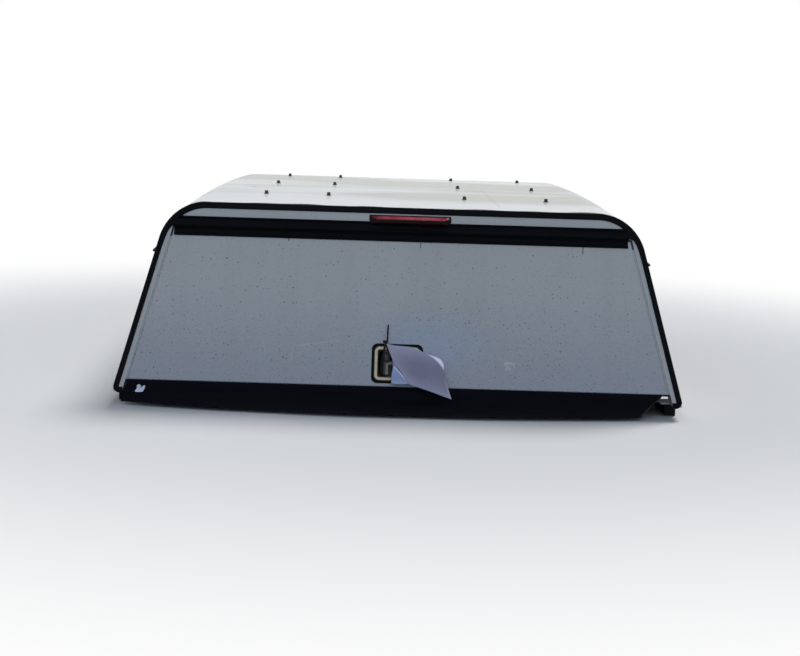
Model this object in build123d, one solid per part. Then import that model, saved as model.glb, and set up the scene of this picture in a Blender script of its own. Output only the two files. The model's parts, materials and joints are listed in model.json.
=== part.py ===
from build123d import *
import os
from math import cos, degrees, radians, sin, sqrt, tan

os.makedirs("parts", exist_ok=True)

# Shell moulding. The rear face leans forwards, the sides lean inwards.
base_width = 1542  # across the bottom of the side walls
base_length = 1870  # from the bottom of the rear face to the front wall
shell_height = 504  # rear edge of the roof above the bottom of the walls
wall = 5
side_lean = 14.8  # degrees from upright
rear_lean = 16.5
front_lean = 7
roof_corner_radius = 128
front_corner_radius = 70
roof_arch_radius = 30000  # the roof rises gently towards its middle
base_flange_width = 48  # the flange turns inboard and rests on the bed rails

# Foam seals that the canopy stands on
seal_height = 35
seal_width = 30
seal_inset = 3  # from the inner face of the wall
seal_rear_gap = 60  # the side seals stop short of the rear face

# Edge trim round the rear of the shell
trim_thickness = 3.5
trim_face_width = 9.5
trim_side_width = 12
trim_hook_length = 22
trim_hook_height = 8

# Door opening, its jamb and the seal round it
side_strip = 24  # from the shell's outer edge to the opening
jamb_wall = 4
stop_width = 24
door_seal_width = 12
door_seal_height = 8
door_seal_gap = 5
door_gap = 5

# Full-width hinge: a bead on the fixed leaf turns in a hook on the door's leaf
hinge_drop = 64  # from the roof's edge down the rear face to the pin line
hinge_stand_off = 8.5
hinge_half_length = 643
hinge_end_gap = 1
hinge_door_leaf_inset = 1  # at the left; the right end stands further in
hinge_door_leaf_step = 6
bead_radius = 4
bead_clearance = 0.5
hook_wall = 3
neck_width = 3
leaf_thickness = 3
upper_leaf_height = 26
lower_leaf_height = 28
leaf_lip = 6  # rolled lip along each leaf's free edge
hook_room = 3.5  # from the hook up to the web that carries the bead
leaf_room = 1.5  # from the hook to the leaf beside it
groove_width = 1.6
groove_depth = 1
groove_levels = (12, 17)  # from the pin line, on each leaf

# Door
door_bottom_height = 32  # above the bottom of the walls
door_depth = 28
door_skin = 4
inner_panel_thickness = 3
inner_panel_gap = 0.5
swage_depth = 6
swage_margin = 70
swage_gap = 60

# Skirt under the door
retainer_height = 20
retainer_thickness = 2.5
retainer_end_gap = 1
skirt_thickness = 4
skirt_straight = 32  # it hangs straight for so much, then sweeps out
skirt_reach = 88  # how far its middle is pushed out from the wall's foot
skirt_end_reach = 8
skirt_floor_gap = 2
skirt_tear_start = 15  # from the skirt's right end, at its top
skirt_tear_width = 85
skirt_sections = 17
skirt_bend = 0.5  # of the way down, where the skirt turns outwards
skirt_bend_reach = 0.25  # how much of its reach it has there
fastener_diameter = 20
fastener_height = 4
fastener_inset = 33  # from the skirt's left end
fastener_drop = 20  # below the door's bottom edge

# Latch dish and its T handle
dish_width = 139
dish_height = 108
dish_offset = -5  # from the door's middle
dish_corner = 16
dish_bottom_gap = 9  # above the door's bottom edge
gasket_thickness = 1.5
gasket_edge = 6
dish_frame_width = 13
dish_depth = 21
dish_sheet = 1.4
dish_slope = 6
spindle_diameter = 10
spindle_clearance = 0.3
tee_bar_length = 68
tee_bar_width = 14
tee_bar_reach = 37  # from the spindle to the bar's outer side
tee_thickness = 9
tee_stand_off = 8.5  # under the handle, clear of the dish's frame
tee_stem_width = 12
tee_hub_diameter = 24
lock_diameter = 13
lock_height = 2
latch_case_width = 84
latch_case_height = 66
latch_case_depth = 16

# Cable tie on the T bar, and the folded sheet that it holds
tie_width = 4.6
tie_thickness = 1.6
tie_drop = 8  # below the top of the T bar
tie_head = 8
tie_tail = 80
tie_rise = 32  # from the loop up to the head
sheet_thickness = 1.2
sheet_gap = 3
sheet_clearance = 0.3

# Third brake light
light_width = 225
light_height = 28
light_reach = 30
light_taper = 24
light_nose = 0.68  # of its height, from the top down to the nose
light_offset = 20  # to the right of the middle
light_base_thickness = 2
light_base_edge = 3
light_gap = 9  # between the trim and the light
light_wall = 2.5

# Side and front windows
window_height = 240
window_length = 1240
window_bottom = 105  # above the bottom of the walls
window_rear_inset = 330  # from the foot of the rear face to the frame's end
window_corner = 45
front_window_width = 900
front_window_height = 250
front_window_bottom = 130
frame_face_width = 22
frame_lip = 10
frame_proud = 5
frame_depth = 14
frame_gap = 0.3
mullion_width = 20
pane_thickness = 4
pane_seat = 8
pane_clearance = 0.3

# Drip rails over the side windows
drip_rail_height = 12
drip_rail_reach = 11
drip_rail_wall = 3
drip_rail_above_window = 52
drip_rail_overhang = 3
drip_rail_front_gap = 230

# Bolts left on the roof by a rack
bolt_head_width = 10
bolt_head_height = 8
bolt_washer_diameter = 15
bolt_washer_thickness = 1.5
bolt_washer_sides = 16
bolt_columns = (-405, -220, 184, 427)  # from the middle, left to right
bolt_rear_gap = 365  # from the roof's rear edge to the first row
bolt_front_gap = 194  # from the last row to the roof's front edge
bolt_middle_shift = -50  # the middle row stands behind half way

# Places worked out from the sizes above
floor = 0
wall_foot = floor + seal_height
half_width = base_width / 2
rear_y = skirt_reach / 2 - base_length / 2
front_y = rear_y + base_length
roof_rear_y = rear_y + shell_height * tan(radians(rear_lean))
roof_front_y = front_y - shell_height * tan(radians(front_lean))
middle_y = (roof_rear_y + roof_front_y) / 2
arch_rise = roof_arch_radius - sqrt(roof_arch_radius**2 - (roof_front_y - roof_rear_y) ** 2 / 4)
roof_top = wall_foot + shell_height + arch_rise
arch_axis = Axis((0, middle_y, roof_top - roof_arch_radius), (1, 0, 0))
side_slope = tan(radians(side_lean))
half_turn = degrees(0.7 * base_length / roof_arch_radius)
rear_slope = (middle_y - roof_rear_y) / roof_arch_radius

# The rear face's own plane: x across, y up the slope, z out of the face
rear_plane = Plane((0, rear_y, wall_foot), x_dir=(1, 0, 0),
                   z_dir=(0, -cos(radians(rear_lean)), sin(radians(rear_lean))))
rear_height = shell_height / cos(radians(rear_lean))
hinge_line = rear_height - hinge_drop
door_bottom = door_bottom_height / cos(radians(rear_lean))
door_top = hinge_line - bead_radius - bead_clearance - hook_wall - 0.5
opening_top = door_top + door_gap
stop_level = -(door_depth + door_seal_gap + door_seal_height)
dish_middle = door_bottom + dish_bottom_gap + dish_height / 2


def prism(outline, height):
    """Raise a flat outline upwards, whichever way round it was drawn."""
    return extrude(outline, height, dir=(0, 0, 1))


def arch_drop(y):
    """Drop of the roof's arch at a place along the length."""
    return roof_arch_radius - sqrt(roof_arch_radius**2 - (y - middle_y) ** 2)


def edge_at(height):
    """Half width of the rear face at a distance up its slope."""
    return half_width - height * cos(radians(rear_lean)) * side_slope


def inset(distance):
    """Sideways distance of a line that is set in from the sloping edge."""
    return distance * sqrt(1 + (cos(radians(rear_lean)) * side_slope) ** 2)


def section(offset, foot, top):
    """The cross-section of the shell, grown all round by an offset."""
    top += offset
    low = foot - 2 * seal_height  # well under the cut that each form gets at its foot
    bottom_half = half_width + offset / cos(radians(side_lean)) + (foot - low) * side_slope
    top_half = bottom_half - (top - low) * side_slope
    corners = [(-bottom_half, low), (bottom_half, low), (top_half, top), (-top_half, top)]
    outline = Polygon(*corners, align=None)
    return fillet(outline.vertices().sort_by(Axis.Y)[-2:], roof_corner_radius + offset)


def rear_form(offset, level):
    """The shell's rear end without its arch, cut at a distance out of the rear face."""
    plane = Plane((0, roof_rear_y, 0), x_dir=(1, 0, 0), z_dir=(0, -1, 0))
    face = plane * section(offset, wall_foot, wall_foot + shell_height)
    along = Vector(0, 1, rear_slope)
    form = extrude(face, 2 * shell_height, dir=along) + extrude(face, 2 * shell_height, dir=-along)
    form = split(form, bisect_by=rear_plane.offset(level), keep=Keep.BOTTOM)
    return split(form, bisect_by=Plane.XY.offset(wall_foot), keep=Keep.TOP)


def shell_form(offset):
    """The shell's outer form, grown all round by an offset."""
    plane = Plane((0, middle_y, 0), x_dir=(1, 0, 0), z_dir=(0, -1, 0))
    face = plane * section(offset, wall_foot + arch_rise, roof_top)
    form = revolve(face.rotate(arch_axis, -half_turn), axis=arch_axis, revolution_arc=2 * half_turn)
    front = Plane((0, front_y + offset / cos(radians(front_lean)), wall_foot), x_dir=(1, 0, 0),
                  z_dir=(0, cos(radians(front_lean)), sin(radians(front_lean))))
    form = split(form, bisect_by=front, keep=Keep.BOTTOM)
    form = split(form, bisect_by=rear_plane, keep=Keep.BOTTOM)
    front_face = form.faces().sort_by(Axis.Y)[-1]
    rim = [edge for edge in front_face.edges() if edge.center().Z > wall_foot]
    form = fillet(rim, front_corner_radius + offset)
    return split(form, bisect_by=Plane.XY.offset(wall_foot), keep=Keep.TOP)


def rear_slab(low, high):
    """A slab along the rear face between two distances out of it."""
    slab = Box(2 * base_width, 2 * base_width, high - low)
    return rear_plane * Pos(0, rear_height / 2, (low + high) / 2) * slab


def rear_prism(points, low, high):
    """A prism on the rear face from an outline in its plane."""
    return rear_plane * Pos(0, 0, low) * prism(Polygon(*points, align=None), high - low)


def trapezoid(bottom, top, margin):
    """Corners of a panel that keeps a margin from the shell's sloping edges."""
    bottom_half = edge_at(bottom) - inset(margin)
    top_half = edge_at(top) - inset(margin)
    return [(-bottom_half, bottom), (bottom_half, bottom), (top_half, top), (-top_half, top)]


def save(shape, name, color):
    """Write one piece as a STEP file."""
    shape.label = name
    shape.color = Color(color)
    export_step(shape, f"parts/{name}.step")


# Shell: outer form less its inside, with the rear frame and the base flange
outer = shell_form(0)
inner = shell_form(-wall)
below = -2 * seal_height  # clear of the foot of every form
shell = outer - inner
frame_plate = outer & rear_slab(-wall, 0)
jamb = rear_prism(trapezoid(below, opening_top + jamb_wall, side_strip - jamb_wall),
                  stop_level - jamb_wall, 0)
stop_hole = rear_prism(trapezoid(2 * below, opening_top - stop_width, side_strip + stop_width),
                       stop_level - 2 * jamb_wall, wall)
door_hole = rear_prism(trapezoid(2 * below, opening_top, side_strip), stop_level, wall)
shell += frame_plate + (outer & jamb)
shell -= door_hole + stop_hole
flange_level = Pos(0, rear_y + base_length / 2, wall_foot + wall / 2)
base_flange = outer & flange_level * Box(2 * base_width, 2 * base_length, wall)
flange_hole_rear = rear_y - base_length
flange_hole_front = front_y - wall - base_flange_width
flange_hole = Pos(0, (flange_hole_rear + flange_hole_front) / 2, wall_foot) * Box(
    2 * (half_width - wall - base_flange_width), flange_hole_front - flange_hole_rear, 4 * wall)
shell += base_flange - flange_hole - door_hole - stop_hole


def side_plane(side):
    """Outer face of a side wall at mid length: x along the wall, y up it, z out of it."""
    middle_half = half_width + arch_rise * side_slope
    return Plane((side * middle_half, middle_y, wall_foot), x_dir=(0, side, 0),
                 z_dir=(side * cos(radians(side_lean)), 0, sin(radians(side_lean))))


def side_window_outline(side):
    """A side window's hole; its rear edge leans with the rear face."""
    rear = side * (rear_y + window_rear_inset - middle_y)
    front = rear + side * window_length
    top = window_bottom + window_height
    lean = side * window_height * tan(radians(rear_lean))
    corners = [(rear, window_bottom), (front, window_bottom), (front, top), (rear + lean, top)]
    outline = Polygon(*corners, align=None)
    return fillet(outline.vertices(), window_corner)


def front_window_outline():
    """The front window's hole."""
    middle = front_window_bottom + front_window_height / 2
    return Pos(0, middle) * RectangleRounded(front_window_width, front_window_height, window_corner)


def window_prism(plane, outline, grow, low, high):
    """A prism through the wall from a window outline, grown by a margin."""
    grown = offset(outline, amount=grow) if grow else outline
    return plane * Pos(0, 0, low) * prism(grown, high - low)


def window_parts(plane, outline):
    """Frame and two overlapping panes of a window."""
    lip = window_prism(plane, outline, frame_lip, frame_gap, frame_proud)
    sleeve = window_prism(plane, outline, -frame_gap, -frame_depth, frame_gap)
    opening = window_prism(plane, outline, frame_lip - frame_face_width, -2 * frame_depth, 2 * frame_depth)
    middle = outline.bounding_box().center()
    mullion = window_prism(plane, outline, frame_lip - frame_face_width, frame_gap, frame_proud - 1)
    mullion &= plane * Pos(middle.X, middle.Y) * Box(mullion_width, 2 * window_length, 4 * frame_proud)
    frame = lip + sleeve - opening + mullion
    half = Box(4 * window_length, 4 * window_length, 8 * frame_depth)
    panes = []
    for index, end in enumerate((1, -1)):
        high = -1 - index * (pane_thickness + 2)
        low = high - pane_thickness
        grow = frame_lip - frame_face_width + pane_seat
        frame -= window_prism(plane, outline, grow + pane_clearance,
                              low - pane_clearance, high + pane_clearance)
        glass = window_prism(plane, outline, grow, low, high)
        side_shift = end * (2 * window_length - mullion_width / 2)
        panes.append(glass & plane * Pos(middle.X + side_shift, middle.Y) * half)
    return frame, panes


window_planes = {
    "left": (side_plane(-1), side_window_outline(-1)),
    "right": (side_plane(1), side_window_outline(1)),
    "front": (Plane((0, front_y, wall_foot), x_dir=(-1, 0, 0),
                    z_dir=(0, cos(radians(front_lean)), sin(radians(front_lean)))), front_window_outline()),
}
for plane, outline in window_planes.values():
    shell -= window_prism(plane, outline, 0, -6 * wall, 6 * wall)
save(shell, "shell", "white")

pane_names = {"left": ("rear", "front"), "right": ("front", "rear"), "front": ("left", "right")}
for name, (plane, outline) in window_planes.items():
    frame, panes = window_parts(plane, outline)
    save(frame, f"{name}_window_frame", "black")
    for end, pane in zip(pane_names[name], panes):
        save(pane, f"{name}_window_{end}_pane", "gray")

# Edge trim: a lip on the rear face, a lip on the outside, and a hook under each leg
trim_outer = rear_form(trim_thickness, trim_thickness)
trim = (trim_outer & rear_slab(0, trim_thickness)) - rear_form(-trim_face_width, 2 * trim_thickness)
trim += (trim_outer & rear_slab(-trim_side_width, 0)) - rear_form(0, 2 * trim_thickness)
foot_half = half_width - (roof_rear_y - rear_y) * rear_slope * side_slope
hook_outer = foot_half + trim_thickness / cos(radians(side_lean))
hook_rear = rear_y - trim_thickness / cos(radians(rear_lean))
hook_depth = rear_y + trim_side_width - hook_rear
for side in (-1, 1):
    hook_place = Pos(side * (hook_outer - trim_hook_length / 2), hook_rear + hook_depth / 2,
                     wall_foot - trim_hook_height / 2)
    trim += hook_place * Box(trim_hook_length, hook_depth, trim_hook_height)
save(trim, "rear_edge_trim", "black")

# Rail seals
seal_outer = half_width - wall - seal_inset
seal_front = front_y - wall - seal_inset
side_seal_rear = rear_y + seal_rear_gap
side_seal_front = seal_front - seal_width - frame_gap
for side, name in ((-1, "left"), (1, "right")):
    place = Pos(side * (seal_outer - seal_width / 2), (side_seal_rear + side_seal_front) / 2,
                seal_height / 2)
    rail_seal = Box(seal_width, side_seal_front - side_seal_rear, seal_height)
    save(place * rail_seal, f"{name}_rail_seal", "dimgray")
front_seal = Box(2 * (seal_outer - seal_width - frame_gap), seal_width, seal_height)
save(Pos(0, seal_front - seal_width / 2, seal_height / 2) * front_seal, "front_rail_seal", "dimgray")

# Seal round the door opening, on the stop
seal_margin = side_strip + (stop_width - door_seal_width) / 2
seal_top = opening_top - (stop_width - door_seal_width) / 2
seal_outline = trapezoid(door_bottom, seal_top, seal_margin)
seal_hole = trapezoid(below, seal_top - door_seal_width, seal_margin + door_seal_width)
door_seal = rear_prism(seal_outline, stop_level, stop_level + door_seal_height)
save(door_seal - rear_prism(seal_hole, 2 * stop_level, 0), "door_seal", "black")


def hinge_section(*shapes):
    """A hinge leaf's profile joined from shapes; x is out of the face and y up it."""
    section = shapes[0]
    for shape in shapes[1:]:
        section += shape
    return section


def along_hinge(section, half_length):
    """Run a profile along the hinge, centred on the canopy."""
    start = rear_plane * Pos(half_length, hinge_line, 0)
    plane = Plane(start.position, x_dir=rear_plane.z_dir, z_dir=(-1, 0, 0))
    return plane * prism(section, 2 * half_length)


def bar(left, right, low, high):
    """A rectangle between two places out of the face and two up it."""
    return Pos((left + right) / 2, (low + high) / 2) * Rectangle(right - left, high - low)


# Hinge: the fixed leaf's bead hangs on a neck inside the door leaf's hook
pin = Pos(hinge_stand_off, 0)
hook_inner = bead_radius + bead_clearance
hook_outer_radius = hook_inner + hook_wall
web_low = hook_outer_radius + hook_room
web_high = web_low + leaf_thickness
upper_leaf = hinge_section(
    bar(0, leaf_thickness, hook_outer_radius + leaf_room, upper_leaf_height),
    bar(0, hinge_stand_off + neck_width / 2, web_low, web_high),
    bar(hinge_stand_off - neck_width / 2, hinge_stand_off + neck_width / 2, 0, web_high),
    pin * Circle(bead_radius),
    Pos(leaf_lip / 2, upper_leaf_height - leaf_lip / 2) * Circle(leaf_lip / 2),
)
for level in groove_levels:
    groove = bar(leaf_thickness - groove_depth, leaf_thickness, -groove_width / 2, groove_width / 2)
    upper_leaf -= Pos(0, level + hook_room) * groove
inside_trim = rear_form(-trim_face_width - hinge_end_gap, 2 * hinge_stand_off)
save(along_hinge(upper_leaf, hinge_half_length) & inside_trim, "hinge_header_rail", "black")
mouth_reach = 3 * hook_outer_radius
mouth_angles = (-18, 16, 50, 84, 118)
mouth = [(hinge_stand_off + mouth_reach * cos(radians(angle)), mouth_reach * sin(radians(angle)))
         for angle in mouth_angles]
hook_ring = pin * Circle(hook_outer_radius) - pin * Circle(hook_inner)
hook_ring -= Polygon((hinge_stand_off, 0), *mouth, align=None)
hook_foot = -hook_outer_radius + hook_wall / 2
lower_leaf = hinge_section(
    hook_ring,
    bar(0, leaf_thickness, -lower_leaf_height, hook_foot),
    bar(0, hinge_stand_off, -hook_outer_radius - leaf_room, hook_foot),
    Pos(leaf_lip / 2, -lower_leaf_height + leaf_lip / 2) * Circle(leaf_lip / 2),
)
for level in groove_levels:
    groove = bar(leaf_thickness - groove_depth, leaf_thickness, -groove_width / 2, groove_width / 2)
    lower_leaf -= Pos(0, -level - hook_room) * groove
door_margin = side_strip + door_gap
door_leaf_half = edge_at(door_top) - inset(door_margin) - hinge_door_leaf_inset - hinge_door_leaf_step / 2
lower_leaf_place = Pos(-hinge_door_leaf_step / 2, 0, 0)
save(lower_leaf_place * along_hinge(lower_leaf, door_leaf_half), "hinge_door_rail", "black")

# Door panel: a moulded tray with a rounded edge and a hole for the dish
door_outline = trapezoid(door_bottom, door_top, door_margin)
door_panel = rear_prism(door_outline, -door_depth, 0)
front_edges = door_panel.faces().sort_by(Axis(rear_plane.origin, rear_plane.z_dir))[-1].edges()
door_panel = fillet(front_edges, door_skin - 1)
door_inside = trapezoid(door_bottom + door_skin, door_top - door_skin, door_margin + door_skin)
door_panel -= rear_prism(door_inside, -2 * door_depth, -door_skin)
dish_place = rear_plane * Pos(dish_offset, dish_middle, 0)
recess_width = dish_width - 2 * gasket_edge - 2 * dish_frame_width
recess_height = dish_height - 2 * gasket_edge - 2 * dish_frame_width
recess_corner = dish_corner - 2
pan_clearance = dish_sheet + 1
dish_hole = RectangleRounded(recess_width + 2 * pan_clearance, recess_height + 2 * pan_clearance,
                             recess_corner)
door_panel -= dish_place * Pos(0, 0, -2 * door_skin) * prism(dish_hole, 4 * door_skin)
save(door_panel, "door_panel", "white")

# Inner door panel: a flat liner with pressed fields each side of the latch
liner_margin = door_margin + door_skin + inner_panel_gap
liner_edge = door_skin + inner_panel_gap
liner_outline = trapezoid(door_bottom + liner_edge, door_top - liner_edge, liner_margin)
liner = rear_prism(liner_outline, -door_depth, inner_panel_thickness - door_depth)
field_bottom = door_bottom + swage_margin
field_top = door_top - swage_margin
field_inner = latch_case_width / 2 + swage_gap
for side in (-1, 1):
    outer_low = edge_at(field_bottom) - inset(liner_margin + swage_margin)
    outer_high = edge_at(field_top) - inset(liner_margin + swage_margin)
    corners = [(side * field_inner, field_bottom), (side * outer_low, field_bottom),
               (side * outer_high, field_top), (side * field_inner, field_top)]
    field = Polygon(*corners, align=None)
    field = fillet(field.vertices(), swage_margin / 2)
    liner += rear_plane * Pos(0, 0, -door_depth) * prism(field, swage_depth + inner_panel_thickness)
    hollow = offset(field, amount=-inner_panel_thickness)
    liner -= rear_plane * Pos(0, 0, -2 * door_depth) * prism(hollow, door_depth + swage_depth)
spindle_hole = prism(Circle(spindle_diameter / 2 + spindle_clearance), 4 * door_depth)
spindle_hole = dish_place * Pos(0, 0, -2 * door_depth) * spindle_hole
save(liner - spindle_hole, "door_inner_panel", "whitesmoke")

# Skirt retainer: an angle under the door's bottom edge
retainer_half = edge_at(door_bottom) - inset(door_margin) - retainer_end_gap
retainer_back = -skirt_thickness - retainer_thickness
retainer_leg = bar(retainer_back, -skirt_thickness, -retainer_height, 0)
retainer_shelf = bar(retainer_back + retainer_thickness - door_depth / 2, -skirt_thickness,
                     -retainer_thickness, 0)
retainer_start = rear_plane * Pos(retainer_half, door_bottom, 0)
retainer_plane = Plane(retainer_start.position, x_dir=rear_plane.z_dir, z_dir=(-1, 0, 0))
save(retainer_plane * prism(retainer_leg + retainer_shelf, 2 * retainer_half), "skirt_retainer", "lightgray")


def skirt_reach_at(x):
    """How far the skirt's foot stands out from the wall's foot, most in the middle."""
    return skirt_end_reach + (skirt_reach - skirt_end_reach) * (1 - (x / skirt_half) ** 2)


def skirt_section(x):
    """Points down the skirt's outer side at a place across it and back up its inner side."""
    top = (rear_plane * Pos(x, door_bottom - frame_gap, 0)).position
    knee = (rear_plane * Pos(x, door_bottom - skirt_straight, 0)).position
    foot = Vector(x, rear_y - skirt_reach_at(x), floor + skirt_floor_gap)
    along = (knee - top).normalized()
    bend = Vector(x, knee.Y + skirt_bend_reach * (foot.Y - knee.Y),
                  knee.Z + skirt_bend * (foot.Z - knee.Z))
    slant = (foot - bend).normalized()
    outer_side = [top, knee, bend, foot]
    directions = [along, along, (foot - knee).normalized()]
    inner_side = [point + Vector(0, -direction.Z, direction.Y) * skirt_thickness
                  for point, direction in zip(outer_side, directions)]
    inner_side.append(foot + Vector(0, -skirt_thickness / slant.Z, 0))
    lean_out = side_slope * x / skirt_half
    return [Vector(x + lean_out * (top.Z - point.Z), point.Y, point.Z)
            for point in outer_side + inner_side[::-1]]


def facet_solid(sections):
    """A closed solid of flat facets through sections that all have the same number of points."""
    facets = [Face(Wire.make_polygon(section)) for section in (sections[0], sections[-1])]
    for near, far in zip(sections, sections[1:]):
        for i in range(len(near)):
            j = (i + 1) % len(near)
            facets += [Face(Wire.make_polygon([near[i], far[i], far[j]])),
                       Face(Wire.make_polygon([near[i], far[j], near[j]]))]
    return Solid(Shell(facets))


# Skirt: rubber sheet bowed outwards in the middle, its right lower corner torn off
skirt_half = edge_at(door_bottom) - inset(door_margin)
skirt_places = [skirt_half * (2 * i / (skirt_sections - 1) - 1) for i in range(skirt_sections)]
skirt = facet_solid([skirt_section(x) for x in skirt_places])
tear_top = wall_foot + door_bottom_height - skirt_thickness
tear_right = skirt_half + skirt_reach
tear_left = skirt_half - skirt_tear_width
tear = Polygon((tear_right, tear_top), (skirt_half - skirt_tear_start, tear_top),
               (tear_left, floor + skirt_floor_gap), (tear_left, floor - seal_height),
               (tear_right, floor - seal_height), align=None)
tear_plane = Plane((0, rear_y + skirt_reach, 0), x_dir=(1, 0, 0), z_dir=(0, -1, 0))
save(skirt - tear_plane * prism(tear, 3 * skirt_reach), "door_skirt", "black")

fastener = prism(Circle(fastener_diameter / 2), fastener_height)
fastener_place = rear_plane * Pos(fastener_inset - skirt_half, door_bottom - fastener_drop, 0)
save(fastener_place * fastener, "skirt_fastener", "silver")

# Latch: gasket, pressed dish, case behind it
gasket = RectangleRounded(dish_width, dish_height, dish_corner) - dish_hole
save(dish_place * prism(gasket, gasket_thickness), "handle_gasket", "black")
frame_sheet = RectangleRounded(dish_width - 2 * gasket_edge, dish_height - 2 * gasket_edge, dish_corner - 2)
recess = RectangleRounded(recess_width, recess_height, recess_corner - pan_clearance)
recess_floor = RectangleRounded(recess_width - 2 * dish_slope, recess_height - 2 * dish_slope,
                                recess_corner - pan_clearance)
pan_top = gasket_thickness + dish_sheet
pan = loft([Plane.XY.offset(pan_top) * offset(recess, amount=dish_sheet),
            Plane.XY.offset(-dish_depth - dish_sheet) * offset(recess_floor, amount=dish_sheet)])
hollow = loft([Plane.XY.offset(pan_top) * recess, Plane.XY.offset(-dish_depth) * recess_floor])
dish = Pos(0, 0, gasket_thickness) * prism(frame_sheet, dish_sheet) + pan - hollow
dish = dish_place * dish - spindle_hole
save(dish, "handle_dish", "tan")
case = Pos(0, 0, -door_depth - latch_case_depth) * prism(
    RectangleRounded(latch_case_width, latch_case_height, dish_corner), latch_case_depth)
socket_depth = latch_case_depth / 2
case = dish_place * case - (spindle_hole & rear_slab(-door_depth - socket_depth, 0))
save(case, "latch_case", "dimgray")

# Handle: a T bar on a stem, turning on a spindle through the dish
tee = RectangleRounded(tee_bar_width, tee_bar_length, tee_bar_width / 2 - 1)
tee_bar_x = tee_bar_width / 2 - tee_bar_reach
tee = Pos(tee_bar_x, 0) * tee
tee += Pos(tee_bar_x / 2, 0) * Rectangle(-tee_bar_x, tee_stem_width)
tee += Circle(tee_hub_diameter / 2)
handle = prism(tee, tee_thickness)
handle = chamfer(handle.faces().sort_by(Axis.Z)[-1].edges(), tee_thickness / 4)
save(dish_place * Pos(0, 0, tee_stand_off) * handle, "handle_tee", "dimgray")
spindle_end = -door_depth - socket_depth + 1
spindle = Pos(0, 0, spindle_end) * prism(Circle(spindle_diameter / 2), tee_stand_off - spindle_end)
save(dish_place * spindle, "handle_spindle", "silver")
tee_top = tee_stand_off + tee_thickness
lock = prism(Circle(lock_diameter / 2), lock_height)
save(dish_place * Pos(0, 0, tee_top) * lock, "lock_cylinder", "silver")

# Cable tie round the top of the T bar, with its tail upwards
tie_y = tee_bar_length / 2 - tie_drop
tie_space = Box(tee_bar_width + 2 * sheet_clearance, 2 * tie_width, tee_thickness + 2 * sheet_clearance)
tie_loop = Box(tee_bar_width + 2 * (sheet_clearance + tie_thickness), tie_width,
               tee_thickness + 2 * (sheet_clearance + tie_thickness)) - tie_space
tie_front = tee_thickness / 2 + sheet_clearance
tie_tail_place = Pos(0, tie_tail / 2, tie_front + tie_thickness / 2)
tie = tie_loop + tie_tail_place * Box(tie_width, tie_tail, tie_thickness)
tie += Pos(0, tie_rise, tie_front + tie_thickness) * Box(tie_head, tie_head, 2 * tie_thickness)
save(dish_place * Pos(tee_bar_x, tie_y, tee_stand_off + tee_thickness / 2) * tie, "cable_tie", "black")

# Folded blank sheet: two leaves hanging from a fold, seen from behind the canopy
fold_ends = [(-29, 51), (67, 37)]
front_leaf = [fold_ends[0], (-8, 0), (26, -51), (92, -68), (153, -88), (141, -53), (129, -13), (98, 22),
              fold_ends[1]]
back_leaf = [fold_ends[0], (-14, -6), (-15, -52), (26, -51), (124, -50), (131, -7), (122, 17), (89, 27),
             fold_ends[1]]
leaf_level = tee_top + sheet_clearance + tie_thickness + sheet_clearance
back = Pos(0, 0, leaf_level) * prism(Polygon(*back_leaf, align=None), sheet_thickness)
front_level = leaf_level + sheet_thickness + sheet_gap
front = Pos(0, 0, front_level) * prism(Polygon(*front_leaf, align=None), sheet_thickness)
fold_back = [(x - 1, y - sheet_gap) for x, y in fold_ends[::-1]]
fold_line = Polygon(*fold_ends, *fold_back, align=None)
fold = Pos(0, 0, leaf_level) * prism(fold_line, front_level + sheet_thickness - leaf_level)
save(dish_place * (back + front + fold), "notice_sheet", "white")

# Third brake light: a base on the header and a hollow wedge lens
light_top = rear_height - trim_face_width / cos(radians(rear_lean)) - light_gap
base_height = light_top - (hinge_line + upper_leaf_height) - 1


def light_place(level):
    """A place out of the rear face at the middle of the light's top edge."""
    return rear_plane * Pos(light_offset, light_top, level)


light_base = Pos(0, -base_height / 2) * RectangleRounded(light_width, base_height, light_base_edge)
save(light_place(0) * prism(light_base, light_base_thickness), "brake_light_base", "black")


def lens_form(shrink):
    """The lens as a wedge profile, cut back towards its ends."""
    back = light_base_thickness + frame_gap - (shrink > 0)
    low = -light_height + shrink
    step = leaf_lip + 2 + shrink
    step_low = -base_height + shrink
    reach = light_reach - shrink
    nose_top = -light_height * light_nose
    profile = Polygon((back, -shrink), (reach, nose_top - shrink), (reach, low), (step, low),
                      (step, step_low), (back, step_low), align=None)
    half = light_width / 2 - shrink
    across = Plane((half, 0, 0), x_dir=(0, 0, 1), z_dir=(-1, 0, 0))
    body = across * prism(profile, 2 * half)
    taper_half = half - light_taper
    ends = Polygon((-half, 0), (half, 0), (taper_half, reach), (-taper_half, reach), align=None)
    ends = Plane((0, light_height, 0), x_dir=(1, 0, 0), z_dir=(0, -1, 0)) * prism(ends, 3 * light_height)
    return body & ends


save(light_place(0) * (lens_form(0) - lens_form(light_wall)), "brake_light_lens", "red")


def drip_rail(side):
    """A gutter section carried round the arch of the side wall."""
    height = window_bottom + window_height + drip_rail_above_window
    place = side_plane(side) * Pos(0, height, 0)
    section_plane = Plane(place.position, x_dir=side_plane(side).z_dir, z_dir=(0, -side, 0))
    reach = frame_gap + drip_rail_reach
    half = drip_rail_height / 2
    section = (bar(frame_gap, frame_gap + drip_rail_wall, -half, half)
               + bar(frame_gap, reach, -half, drip_rail_wall - half)
               + bar(reach - drip_rail_wall, reach, -half, 0))
    radius = place.position.Z - arch_axis.position.Z
    rear_end = rear_y + (place.position.Z - wall_foot) * tan(radians(rear_lean))
    rear_end += trim_side_width / cos(radians(rear_lean)) + drip_rail_overhang
    front_end = front_y - drip_rail_front_gap
    start = degrees((middle_y - rear_end) / radius)
    sweep = degrees((front_end - rear_end) / radius)
    face = section_plane * section
    return revolve(face.rotate(arch_axis, start), axis=arch_axis, revolution_arc=-sweep)


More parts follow.
